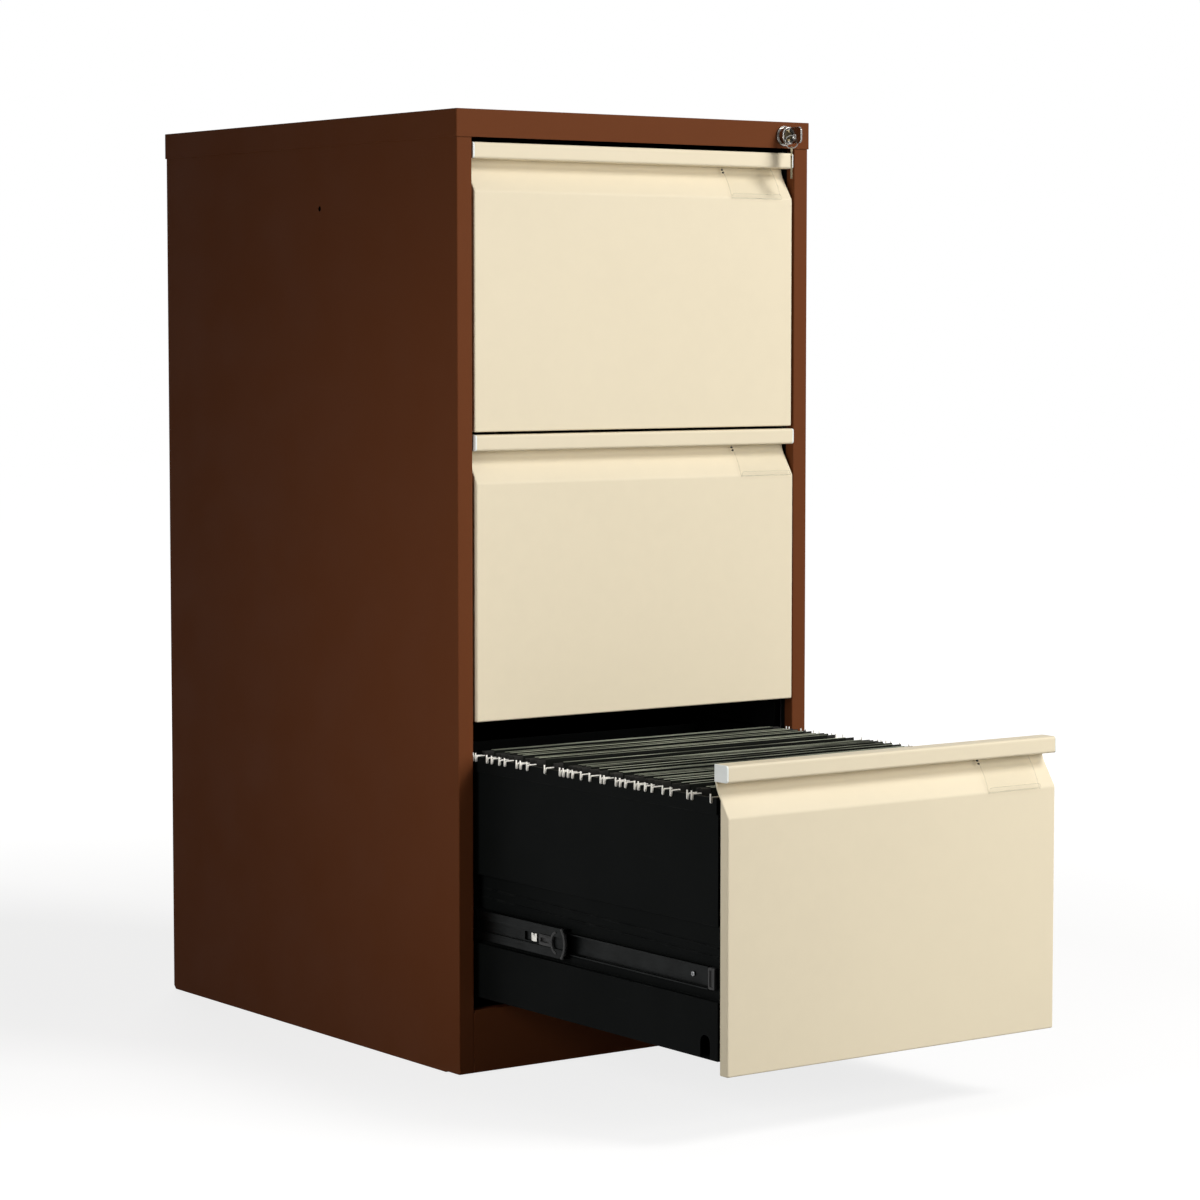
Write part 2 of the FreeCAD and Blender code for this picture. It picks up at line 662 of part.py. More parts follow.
def front_panel():
    """Front sheet with the sloped recess, a bottom return and two side flanges."""
    block = front_block(0.0, 0.0, FRONT_X, 0.0)
    block = block.makeFillet(FOLD_R, [edge for edge in block.Edges if runs_along_x(edge, FACE_Y, FOLD_H)])
    top, back = FRONT_H - HANDLE_H, block.BoundBox.YMax
    rounded = [edge for edge in block.Edges if runs_along_x(edge, FACE_Y, 0.0)]
    for edge in block.Edges:
        sizes = edge.BoundBox
        if sizes.XLength < 1e-6 and sizes.ZMin < top - 1e-3 and sizes.YMin < back - 1e-3:
            rounded.append(edge)
    block = block.makeFillet(FRONT_EDGE_R, rounded)
    hollow = front_block(SHEET, SHEET, FRONT_X - SHEET, PAST)
    behind = front_block(SHEET, -PAST, FRONT_X + PAST, PAST)
    behind = behind.common(box(-WIDTH, WIDTH, FACE_Y + FRONT_FLANGE, back + PAST, -2 * PAST, FRONT_H))
    return block.cut(hollow).cut(behind)


def runs_along_x(edge, y, z):
    sizes = edge.BoundBox
    return sizes.XLength > FRONT_X and abs(sizes.YMin - y) < 1e-4 and abs(sizes.ZMin - z) < 1e-4


def handle_section(inset):
    """Rounded section of the handle bar, drawn inwards by inset, as a face at x = 0."""
    y0, y1 = FACE_Y + inset, FACE_Y + HANDLE_D - inset
    z0, z1 = FRONT_H - HANDLE_H + inset, FRONT_H - inset
    shape = box(0, 1, y0, y1, z0, z1)
    edges = [edge for edge in shape.Edges if edge.BoundBox.XLength > 0.5 and edge.BoundBox.YMax < y0 + 0.1]
    return shape.makeFillet(HANDLE_R - inset, edges)


def along_x(section, x0, x1):
    """The section's end face, drawn out from x0 to x1."""
    ends = [face for face in section.Faces if face.BoundBox.XMax < 0.1]
    return moved(ends[0], x=x0).extrude(Vector(x1 - x0, 0, 0))


def handle_bar():
    outside = along_x(handle_section(0.0), -HANDLE_END_X, HANDLE_END_X)
    inside = along_x(handle_section(SHEET), -HANDLE_END_X - PAST, HANDLE_END_X + PAST)
    return outside.cut(inside)


def handle_cap():
    end = -HANDLE_END_X
    plate = along_x(handle_section(0.0), end - END_CAP_T, end)
    rim = [edge for edge in plate.Edges if edge.BoundBox.XMax < end - END_CAP_T / 2]
    plate = plate.makeFillet(END_CAP_EDGE, rim)
    plug = along_x(handle_section(SHEET + END_CAP_PLUG_GAP), end, end + END_CAP_PLUG)
    return fuse([plate, plug])


def label_holder(name):
    """Clear curved strip over the recess, with a foot that sits on the face below the fold."""
    left = FRONT_X - LABEL_RIGHT[name] - LABEL_W
    right = left + LABEL_W
    curve = Part.BSplineCurve()
    curve.interpolate([Vector(0, FACE_Y + back, FOLD_H + up) for back, up in LABEL_CURVE])
    line = [(point.y, point.z) for point in curve.discretize(LABEL_POINTS)]
    foot_y, foot_z = line[-1]
    foot_low = FOLD_H - LABEL_FOOT
    foot = [(foot_y, foot_z), (FACE_Y - LABEL_LIP, foot_low), (FACE_Y, foot_low),
            (FACE_Y, foot_low + LABEL_FOOT_H), (foot_y + LABEL_T, foot_z)]
    shape = fuse([prism_x(outline, left, right) for outline in (sheet_strip(line, LABEL_T), foot)])
    top = FRONT_H - HANDLE_H
    return shape.cut(box(left - PAST, right + PAST, FACE_Y, FACE_Y + HANDLE_D, top, FRONT_H))


def tray_wall():
    """Left wall of the tray with the recess for the slide and the thick rail at its top."""
    x, r, t = -TRAY_X, -TRAY_RECESS_X, SHEET
    outline = [(x, TRAY_BOTTOM), (x, RECESS_LOW), (r, RECESS_LOW), (r, RECESS_HIGH),
               (x, RECESS_HIGH), (x, RAIL_LOW), (-RAIL_X, RAIL_LOW), (-RAIL_X, RAIL_TOP),
               (x + t, RAIL_TOP), (x + t, RECESS_HIGH + t), (r + t, RECESS_HIGH + t),
               (r + t, RECESS_LOW - t), (x + t, RECESS_LOW - t), (x + t, TRAY_BOTTOM)]
    wall = prism_y(outline, TRAY_FRONT, TRAY_BACK)
    front, back = TRAY_FRONT + RIB_FRONT_ROOM, TRAY_BACK - RIB_REAR_ROOM
    ribs = []
    for low, high in RIB_ENDS:
        low, high = SLIDE_AXIS + low, SLIDE_AXIS + high
        rib = [(front, low), (back, high), (back, high + RIB_H), (front, low + RIB_H)]
        ribs.append(prism_x(rib, r - RIB_T, r + t / 2))
    radius = NOTCH_WIDTH / 2
    start, centre_z = TRAY_FRONT + NOTCH_BEHIND, NOTCH_TOP - radius
    slot = box(x - PAST, x + t + PAST, start, start + NOTCH_WIDTH, TRAY_BOTTOM + t, centre_z)
    notch = fuse([slot, cylinder_x(start + radius, centre_z, radius, x - PAST, x + t + PAST)])
    return fuse([wall] + ribs).cut(notch)


def tray_end(y0, y1, top):
    """Front or back wall of the tray, cut to the shape of the side walls."""
    x, r = TRAY_X, TRAY_RECESS_X
    half = [(x, TRAY_BOTTOM), (x, RECESS_LOW), (r, RECESS_LOW),
            (r, RECESS_HIGH), (x, RECESS_HIGH), (x, top)]
    return prism_y(half + [(-a, z) for a, z in half[::-1]], y0, y1)


def tray():
    wall = tray_wall()
    floor = box(-TRAY_X, TRAY_X, TRAY_FRONT, TRAY_BACK, TRAY_BOTTOM, TRAY_BOTTOM + SHEET)
    front_top = RAIL_TOP - FRONT_DOWN
    front = tray_end(TRAY_FRONT, TRAY_FRONT + SHEET, front_top)
    back = tray_end(TRAY_BACK - SHEET, TRAY_BACK, RAIL_TOP - BACK_DOWN)
    brackets = []
    for side in (-1, 1):
        for z in (TRAY_BOTTOM, front_top - SHEET):
            ends = (side * BRACKET_X, side * (BRACKET_X + BRACKET_W))
            brackets.append(box(*ends, FACE_Y + SHEET, TRAY_FRONT, z, z + SHEET))
    lug_front = TRAY_FRONT + LUG_BEHIND
    lug = box(TRAY_X - SHEET / 2, LUG_X, lug_front, lug_front + LUG_LENGTH, LUG_LOW, LUG_LOW + LUG_H)
    return fuse([floor, wall, mirrored(wall), front, back, lug] + brackets)


# Hanging files, drawn in the same place as the drawer

def hanger_bars():
    """Flat steel bars that rest on the rails, with a tongue down the outside of each rail."""
    hook_in = RAIL_X + HOOK_GAP
    hook_out, low, high = hook_in + HOOK_W, RAIL_TOP - HOOK_DOWN, RAIL_TOP + HOOK_UP
    outline = [(BAR_INSIDE_X, BAR_LOW), (BAR_INSIDE_X, RAIL_TOP), (hook_in, RAIL_TOP), (hook_in, low),
               (hook_out, low), (hook_out, high), (BAR_INSIDE_X - HOOK_RAMP, high),
               (BAR_INSIDE_X - 2 * HOOK_RAMP, BAR_TOP)]
    points = outline + [(-x, z) for x, z in outline[::-1]]
    places = [TRAY_FRONT + behind for pair in FILES for behind in pair]
    return [prism_y(points, y - BAR_T / 2, y + BAR_T / 2) for y in places]


def hem(y):
    """Sleeve of card round the bar at y."""
    inner = BAR_T / 2 + POCKET_HEM_GAP
    outer = inner + POCKET_T
    low, high = BAR_LOW - POCKET_HEM_GAP, BAR_TOP + POCKET_HEM_GAP
    sleeve = box(-POCKET_X, POCKET_X, y - outer, y + outer, low - POCKET_T, high + POCKET_T)
    return sleeve.cut(box(-POCKET_X - PAST, POCKET_X + PAST, y - inner, y + inner, low, high))


def file_pockets():
    """Folded card hung between each pair of bars."""
    pockets = []
    top, half = BAR_LOW - POCKET_HEM_GAP - POCKET_T / 2, POCKET_T / 2
    for pair in FILES:
        front, back = [TRAY_FRONT + behind for behind in pair]
        fold = (front + back) / 2
        sheets = []
        for y in (front, back):
            leaf = [(y - half, top), (y + half, top), (fold + half, POCKET_LOW), (fold - half, POCKET_LOW)]
            sheets += [hem(y), prism_x(leaf, -POCKET_X, POCKET_X)]
        pockets.append(fuse(sheets))
    return pockets


# Lock

def lock_housing():
    tube = on_lock(LOCK_TUBE_R, LOCK_FRONT, FRONT_Y - LOCK_FLANGE_T)
    rim = [edge for edge in tube.Edges if edge.BoundBox.YMax < LOCK_FRONT + LOCK_RIM_R]
    tube = tube.makeFillet(LOCK_RIM_R, rim)
    flange = on_lock(LOCK_FLANGE_R, FRONT_Y - LOCK_FLANGE_T, FRONT_Y)
    barrel = on_lock(LOCK_BARREL_R, FRONT_Y, LOCK_BARREL_BACK)
    rail_back = -BODY_Y + 2 * SHEET
    nut = on_lock(LOCK_NUT_R, rail_back, rail_back + LOCK_NUT_T)
    bore = on_lock(LOCK_BORE_R, LOCK_FRONT - PAST, LOCK_BARREL_BACK + PAST)
    hollow = on_lock(LOCK_RECESS_R, LOCK_FRONT - PAST, PLUG_FRONT)
    return fuse([flange, tube, barrel, nut]).cut(Part.makeCompound([bore, hollow]))


def on_lock(radius, y0, y1):
    """Cylinder on the lock's axis."""
    return cylinder_y(LOCK_X, LOCK_Z, radius, y0, y1)


def bar_on_lock(half_x, half_z, y0, y1):
    """Rectangular bar centred on the lock's axis."""
    return box(LOCK_X - half_x, LOCK_X + half_x, y0, y1, LOCK_Z - half_z, LOCK_Z + half_z)


def lock_plug():
    """Plug with the keyhole, the square tang that turns the cam and the collar that keeps it on."""
    cam_back = CAM_FRONT + CAM_T
    body = on_lock(LOCK_BORE_R - PLUG_GAP, PLUG_FRONT, CAM_FRONT)
    tang = bar_on_lock(TANG / 2, TANG / 2, CAM_FRONT, cam_back)
    collar = on_lock(CAM_COLLAR_R, cam_back, cam_back + CAM_COLLAR_T)
    slot = bar_on_lock(KEY_T / 2 + KEY_SLOT_GAP, KEY_BLADE_H / 2 + KEY_SLOT_GAP,
                       PLUG_FRONT - PAST, PLUG_FRONT + KEY_BLADE_L + PAST)
    return fuse([body, tang, collar]).cut(slot)


def lock_cam():
    """Cam that rises evenly over a quarter turn and falls back behind its peak."""
    shares = [k / CAM_STEPS for k in range(CAM_STEPS + 1)]
    rise = [turned(CAM_LOW_R + BOLT_LIFT * share, LOCK_TURN * share) for share in shares]
    peak = [turned(CAM_LOW_R + BOLT_LIFT, LOCK_TURN + CAM_DWELL)]
    low = [turned(CAM_LOW_R, angle) for angle in range(CAM_FALL_END, 360, 360 // CAM_STEPS)]
    plate = prism_y([(LOCK_X + a, LOCK_Z + b) for a, b in rise + peak + low], CAM_FRONT, CAM_FRONT + CAM_T)
    half = TANG / 2 + TANG_GAP
    return plate.cut(bar_on_lock(half, half, CAM_FRONT - PAST, CAM_FRONT + CAM_T + PAST))


def lock_bolt():
    """Upright bar with one tab below each drawer's lug and a head that reaches over the cam."""
    y0, y1 = CAM_FRONT, CAM_FRONT + CAM_T
    nub_low = LOCK_Z + CAM_LOW_R + BOLT_NUB_GAP
    head_low = nub_low + BOLT_NUB_H
    head_top = head_low + BOLT_HEAD_H
    bar = box(BOLT_LEFT, BOLT_RIGHT, y0, y1, BOLT_LOW, head_top)
    head = box(LOCK_X - BOLT_HEAD_REACH, BOLT_RIGHT, y0, y1, head_low, head_top)
    nub = box(LOCK_X - BOLT_NUB_HALF, LOCK_X + BOLT_NUB_HALF, y0, y1, nub_low, head_low)
    tabs = []
    for name, base, out in DRAWERS:
        tab_top = base + LUG_LOW - BOLT_SHORT - BOLT_LIFT
        tabs.append(box(LUG_X - BOLT_TAB_REACH, BOLT_LEFT, y0, y1, tab_top - BOLT_TAB_H, tab_top))
    return fuse([bar, head, nub] + tabs)


def bolt_guide(z):
    """Staple on the face of the right front post that holds the bolt."""
    y0, y1 = CAM_FRONT - GUIDE_GAP, CAM_FRONT + CAM_T + GUIDE_GAP
    x0, x1 = BOLT_LEFT - GUIDE_GAP, BOLT_RIGHT + GUIDE_GAP
    block = box(x0 - GUIDE_T / 2, x1 + GUIDE_T, y0 - GUIDE_T, POST_FRONT_Y, z, z + GUIDE_H)
    return block.cut(box(x0, x1, y0, y1, z - PAST, z + GUIDE_H + PAST))


# Keys

def key():
    """Key in the lock, with its round-cornered bow standing clear of the lock's rim."""
    half = KEY_T / 2
    shoulder = LOCK_FRONT - KEY_BOW_GAP
    bow = bar_on_lock(half, KEY_BOW_H / 2, shoulder - KEY_BOW_L, shoulder)
    bow = bow.makeFillet(KEY_BOW_R, [edge for edge in bow.Edges if edge.BoundBox.XLength > half])
    blade = bar_on_lock(half, KEY_BLADE_H / 2, shoulder - PAST, PLUG_FRONT + KEY_BLADE_L)
    hole = cylinder_x(KEY_HOLE.y, KEY_HOLE.z, KEY_HOLE_R, LOCK_X - KEY_T, LOCK_X + KEY_T)
    return fuse([bow, blade]).cut(hole)


def ring_place():
    """Centre of the key ring, which hangs through the bow's hole, and the normal of its plane."""
    turn = FreeCAD.Rotation(Vector(0, 0, 1), -RING_TURN)
    lean = math.radians(RING_LEAN)
    arm = turn.multVec(Vector(-math.cos(lean), 0, -math.sin(lean)))
    return KEY_HOLE + arm * RING_R, turn.multVec(Vector(0, 1, 0))


def key_ring():
    centre, normal = ring_place()
    return Part.makeTorus(RING_R, RING_WIRE_R, centre, normal)


def spare_key():
    """Flat key that hangs from the lowest point of the ring, square to the ring's plane."""
    half = SPARE_BLADE_W / 2
    bow = cylinder_y(0, -SPARE_BOW_R, SPARE_BOW_R, 0, KEY_T)
    blade = box(-half, half, 0, KEY_T, -SPARE_LENGTH, -SPARE_BOW_R)
    teeth = [box(half - depth, half + PAST, -PAST, KEY_T + PAST, -at - SPARE_TOOTH, -at)
             for at, depth in SPARE_TEETH]
    hole = cylinder_y(0, -SPARE_HOLE_DOWN, SPARE_HOLE_R, -PAST, KEY_T + PAST)
    shape = fuse([bow, blade]).cut(Part.makeCompound(teeth + [hole]))
    drop = SPARE_HOLE_R - RING_WIRE_R - RING_GAP
    shape.translate(Vector(0, -KEY_T / 2, SPARE_HOLE_DOWN - drop))
    shape.rotate(Vector(0, 0, 0), Vector(0, 0, 1), 90 - RING_TURN)
    shape.translate(ring_place()[0] - Vector(0, 0, RING_R))
    return shape


# Writing the nodes

def save_pair(name, left):
    save(name + "_left", [left])
    save(name + "_right", [mirrored(left)])


def save_carcass():
    save_pair("side_panel", side_panel())
    save("back_panel", [back_panel()])
    save("back_rivets", back_rivets())
    save("top_cap", [top_cap()])
    save("lock_rail", [lock_rail()])
    save("plinth_front", [plinth_front()])
    save("base_pan", [base_pan()])
    save("levelling_feet", levelling_feet())
    posts = [post(POST_FRONT_Y), post(POST_REAR_Y)]
    save("posts_left", posts)
    save("posts_right", [mirrored(shape) for shape in posts])


def save_drawer(name, base, out):
    """All nodes of one drawer; out is how far it stands open at rest."""
    save("front_panel_" + name, [moved(front_panel(), y=-out, z=base)])
    save("handle_bar_" + name, [moved(handle_bar(), y=-out, z=base)])
    cap = moved(handle_cap(), y=-out, z=base)
    save("handle_caps_" + name, [cap, mirrored(cap)])
    save("label_holder_" + name, [moved(label_holder(name), y=-out, z=base)])
    save("tray_" + name, [moved(tray(), y=-out, z=base)])
    save_pair("slide_outer_" + name, moved(slide_outer(), z=base))
    save_pair("slide_middle_" + name, moved(slide_middle(), y=-out * MIDDLE_SHARE, z=base))
    save_pair("slide_inner_" + name, moved(slide_inner(), y=-out, z=base))
    cage = moved(slide_cage(), y=-out * CAGE_SHARE, z=base)
    save("slide_cages_" + name, [cage, mirrored(cage)])
    clip = moved(slide_clip(), y=-out * MIDDLE_SHARE, z=base)
    save("slide_clips_" + name, [clip, mirrored(clip)])


def save_files(base, out):
    save("hanger_bars", [moved(bar, y=-out, z=base) for bar in hanger_bars()])
    save("file_pockets", [moved(pocket, y=-out, z=base) for pocket in file_pockets()])


def save_lock():
    save("lock_housing", [lock_housing()])
    save("lock_plug", [lock_plug()])
    save("lock_cam", [lock_cam()])
    save("lock_bolt", [lock_bolt()])
    save("bolt_guides", [bolt_guide(base + GUIDE_ABOVE[name]) for name, base, out in DRAWERS])
    save("key", [key()])
    save("key_ring", [key_ring()])
    save("spare_key", [spare_key()])


os.makedirs("parts", exist_ok=True)
save_carcass()
for drawer_name, drawer_base, drawer_out in DRAWERS:
    save_drawer(drawer_name, drawer_base, drawer_out)
save_files(DRAWERS[0][1], DRAWERS[0][2])
save_lock()
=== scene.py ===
import math

import bmesh
import bpy
from bpy.props import FloatProperty, FloatVectorProperty, IntProperty, PointerProperty
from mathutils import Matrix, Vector


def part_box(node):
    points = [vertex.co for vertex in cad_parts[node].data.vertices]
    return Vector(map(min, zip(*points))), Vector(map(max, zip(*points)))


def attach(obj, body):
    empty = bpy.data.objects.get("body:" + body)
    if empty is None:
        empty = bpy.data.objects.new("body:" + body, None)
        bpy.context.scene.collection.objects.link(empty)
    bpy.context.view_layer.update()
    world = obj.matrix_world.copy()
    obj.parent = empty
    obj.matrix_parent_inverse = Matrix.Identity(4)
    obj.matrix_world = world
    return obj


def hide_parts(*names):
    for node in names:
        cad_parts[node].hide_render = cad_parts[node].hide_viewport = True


bl_info = {
    "name": "Three-drawer filing cabinet",
    "version": (1, 0, 0),
    "blender": (4, 5, 0),
    "location": "3D View > Sidebar > Cabinet",
    "description": "Finishes, slides, hanging files, label holders and keys of a steel filing cabinet",
    "category": "Object",
}

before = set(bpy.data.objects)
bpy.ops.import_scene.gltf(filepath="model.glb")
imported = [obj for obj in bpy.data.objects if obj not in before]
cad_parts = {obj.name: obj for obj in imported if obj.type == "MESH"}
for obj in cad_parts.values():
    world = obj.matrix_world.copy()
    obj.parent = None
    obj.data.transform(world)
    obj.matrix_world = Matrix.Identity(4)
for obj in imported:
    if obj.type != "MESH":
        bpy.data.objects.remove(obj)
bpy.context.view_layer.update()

DRAWERS = ("bottom", "middle", "top")
SIDES = ("left", "right")
MM = 0.001
MERGE_GAP = 0.00001
FINE_GAP = 0.000001

# Side view of a label holder, in millimetres behind and above the fold of its front, and the places of its pins
LABEL_CURVE = ((17.3, 33.6), (11.3, 25.0), (5.2, 16.5), (1.3, 7.0), (-1.4, 0.4))
LABEL_PINS = ((15.0, 31.0), (13.0, 28.0))

# Lamps: name, place, point aimed at, width and height, in metres. Their powers are properties of the stage.
LAMPS = (("key", (1.8, -2.9, 3.1), (0.0, -0.3, 0.7), (1.4, 1.4)),
         ("fill", (1.2, -3.6, 1.25), (0.0, -0.3, 0.5), (2.0, 1.4)),
         ("side", (-3.0, -0.45, 0.9), (-0.23, -0.1, 0.5), (1.2, 1.2)),
         ("back", (1.3, 3.1, 2.1), (0.1, 0.3, 0.5), (1.8, 1.8)),
         ("low", (-1.1, -0.62, 0.5), (-0.21, -0.7, 0.34), (0.4, 0.4)))
LAMP_COLOUR = (1.0, 0.985, 0.965)
AMBIENT_COLOUR = (1.0, 0.985, 0.96, 1.0)

# Black boards: name, place in metres, turn in degrees, width and height in metres
FLAGS = (("flag_left", (-2.6, 0.9, 1.5), (0, 90, 0), (3.0, 5.0)),
         ("flag_front", (0.0, -6.5, 2.0), (90, 0, 0), (9.0, 4.0)))

SENSOR_MM = 36.0
CLIP_NEAR, CLIP_FAR = 0.05, 100.0
FLOOR_WIDTH = 30.0
GLOW_FROM, GLOW_FULL = 0.9, 2.6


# Modelling helpers

def deselect_all():
    if bpy.context.mode != "OBJECT":
        bpy.ops.object.mode_set(mode="OBJECT")
    bpy.ops.object.select_all(action="DESELECT")


def new_piece(name, kind, **settings):
    """Adds a primitive by its operator and names it."""
    deselect_all()
    getattr(bpy.ops.mesh, "primitive_" + kind + "_add")(**settings)
    piece = bpy.context.active_object
    piece.name = name
    piece.data.name = name
    return piece


def activate(piece):
    deselect_all()
    piece.select_set(True)
    bpy.context.view_layer.objects.active = piece


def edit(piece, mode="VERT"):
    """Goes into edit mode on one piece with nothing selected."""
    activate(piece)
    bpy.ops.object.mode_set(mode="EDIT")
    bpy.ops.mesh.select_mode(type=mode)
    bpy.ops.mesh.select_all(action="DESELECT")


def choose(piece, kind, test):
    """Selects the vertices, edges or faces that pass the test."""
    bpy.ops.mesh.select_all(action="DESELECT")
    mesh = bmesh.from_edit_mesh(piece.data)
    chosen = [item for item in getattr(mesh, kind) if test(item)]
    for item in chosen:
        item.select_set(True)
    mesh.select_flush_mode()
    bmesh.update_edit_mesh(piece.data)
    if not chosen:
        raise RuntimeError("nothing to select on " + piece.name)


def leave_edit():
    bpy.ops.object.mode_set(mode="OBJECT")


def settle(piece):
    """Puts the piece's place into its mesh."""
    activate(piece)
    bpy.ops.object.transform_apply(location=True, rotation=True, scale=True)


def apply_modifier(piece, kind, **settings):
    activate(piece)
    modifier = piece.modifiers.new(kind.title(), kind)
    for key, value in settings.items():
        setattr(modifier, key, value)
    bpy.ops.object.modifier_apply(modifier=modifier.name)


def round_edges(piece, width, segments=2):
    apply_modifier(piece, "BEVEL", width=width, segments=segments, limit_method="ANGLE")


def thicken(piece, thickness):
    """Gives a strip its thickness, half of it on each side."""
    apply_modifier(piece, "SOLIDIFY", thickness=thickness, offset=0.0)


def clean(piece, gap=MERGE_GAP):
    """Merges doubles and points the faces outwards."""
    edit(piece)
    bpy.ops.mesh.select_all(action="SELECT")
    bpy.ops.mesh.remove_doubles(threshold=gap)
    bpy.ops.mesh.normals_make_consistent(inside=False)
    leave_edit()


def smooth(piece, degrees=35.0):
    activate(piece)
    bpy.ops.object.shade_smooth_by_angle(angle=math.radians(degrees))


def copy_of(piece, name, offset=(0, 0, 0), mirror=False):
    """A copy with its own mesh, moved by the offset and, if asked, mirrored in x = 0 first."""
    twin = piece.copy()
    twin.data = piece.data.copy()
    twin.name = name
    twin.data.name = name
    bpy.context.scene.collection.objects.link(twin)
    activate(twin)
    if mirror:
        bpy.ops.transform.mirror(orient_type="GLOBAL", constraint_axis=(True, False, False),
                                 center_override=(0, 0, 0))
        settle(twin)
        clean(twin)
    twin.location = offset
    settle(twin)
    return twin


def finished(piece, body, material, slot, *nodes):
    """Gives the piece its body and, unless it has them already, its material, and hides what it stands for."""
    if material is not None:
        piece.data.materials.clear()
        piece.data.materials.append(material)
    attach(piece, body)
    if nodes:
        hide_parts(*nodes)


def ribbon(name, line, across, along_y=False):
    """Strip that follows a line of points, drawn by extruding one edge along it."""
    strip = new_piece(name, "plane", size=1.0)
    edit(strip)
    choose(strip, "verts", lambda v: v.co.y > 0)
    bpy.ops.mesh.delete(type="VERT")
    bpy.ops.mesh.select_all(action="SELECT")
    bpy.ops.transform.translate(value=(0, 0.5, 0))
    leave_edit()
    strip.scale.x = across
    strip.rotation_euler.z = math.radians(90) if along_y else 0.0
    strip.location = line[0]
    settle(strip)
    edit(strip, "EDGE")
    bpy.ops.mesh.select_all(action="SELECT")
    for before, after in zip(line, line[1:]):
        step = [b - a for a, b in zip(before, after)]
        bpy.ops.mesh.extrude_region_move(TRANSFORM_OT_translate={"value": step})
    leave_edit()
    return strip


def arc(centre, radius, start, stop, steps):
    """Points (u, v) on an arc, with its angles in degrees."""
    angles = [math.radians(start + (stop - start) * k / steps) for k in range(steps + 1)]
    return [(centre[0] + radius * math.cos(a), centre[1] + radius * math.sin(a)) for a in angles]


def block(name, low, high, rounding):
    """Box between two corners with rounded edges."""
    piece = new_piece(name, "cube", size=1.0, location=[(a + b) / 2 for a, b in zip(low, high)])
    piece.scale = [b - a for a, b in zip(low, high)]
    settle(piece)
    round_edges(piece, rounding)
    return piece


def joined(first, *others):
    activate(first)
    for other in others:
        other.select_set(True)
    bpy.ops.object.join()
    return first


# Material helpers

def new_material(name):
    material = bpy.data.materials.new("finish_" + name)
    material.use_nodes = True
    tree = material.node_tree
    shader = tree.nodes["Principled BSDF"]
    return material, tree, shader


def feed(tree, socket, value):
    """Sets an input socket to a value, or links it where the value is an output socket."""
    if isinstance(value, bpy.types.NodeSocket):
        tree.links.new(value, socket)
    else:
        socket.default_value = value


def set_inputs(tree, node, **inputs):
    for key, value in inputs.items():
        feed(tree, node.inputs[key.replace("_", " ")], value)


def add(tree, kind, **inputs):
    """A node with some of its inputs set."""
    node = tree.nodes.new("ShaderNode" + kind)
    set_inputs(tree, node, **inputs)
    return node


def place_of(tree, stretch=(1, 1, 1)):
    """Object coordinates, stretched along the axes."""
    coordinates = tree.nodes.new("ShaderNodeTexCoord")
    return add(tree, "Mapping", Vector=coordinates.outputs["Object"], Scale=stretch).outputs["Vector"]


def noise(tree, scale, detail=3.0, stretch=(1, 1, 1), rough=0.5):
    return add(tree, "TexNoise", Vector=place_of(tree, stretch), Scale=scale, Detail=detail,
               Roughness=rough).outputs["Fac"]


def spread(tree, value, low, high, to_low=0.0, to_high=1.0):
    """Maps the range low to high of a value to another range, and stops at its ends."""
    node = add(tree, "MapRange", Value=value)
    for index, number in enumerate((low, high, to_low, to_high)):
        node.inputs[index + 1].default_value = number
    return node.outputs["Result"]


def mixed(tree, share, first, second):
    """Colour output of a mix of two colours."""
    node = tree.nodes.new("ShaderNodeMix")
    node.data_type = "RGBA"
    for index, value in ((0, share), (6, first), (7, second)):
        feed(tree, node.inputs[index], value)
    return node.outputs[2]


def product(tree, first, second):
    node = add(tree, "Math")
    node.operation = "MULTIPLY"
    for socket, value in zip(node.inputs, (first, second)):
        feed(tree, socket, value)
    return node.outputs[0]


def tone(colour, share):
    return tuple(min(c * share, 1.0) for c in colour[:3]) + (1.0,)


def edge_share(tree, radius):
    """1 on sharp edges and 0 on flat stretches, and the normal rounded over the edges."""
    rounded = add(tree, "Bevel", Radius=radius)
    rounded.samples = 4
    flat = tree.nodes.new("ShaderNodeNewGeometry")
    dot = tree.nodes.new("ShaderNodeVectorMath")
    dot.operation = "DOT_PRODUCT"
    tree.links.new(rounded.outputs["Normal"], dot.inputs[0])
    tree.links.new(flat.outputs["True Normal"], dot.inputs[1])
    return spread(tree, dot.outputs["Value"], 0.995, 0.80), rounded.outputs["Normal"]


def relief(tree, height, strength, distance, normal=None):
    node = add(tree, "Bump", Height=height, Strength=strength, Distance=distance)
    if normal is not None:
        tree.links.new(normal, node.inputs["Normal"])
    return node.outputs["Normal"]


def inside_share(tree, low, high, blur=0.0001):
    """1 inside a box of object coordinates and 0 outside it."""
    axes = tree.nodes.new("ShaderNodeSeparateXYZ")
    tree.links.new(place_of(tree), axes.inputs[0])
    share = 1.0
    for axis, start, end in zip("XYZ", low, high):
        value = axes.outputs[axis]
        share = product(tree, share, spread(tree, value, start - blur, start + blur))
        share = product(tree, share, spread(tree, value, end + blur, end - blur))
    return share


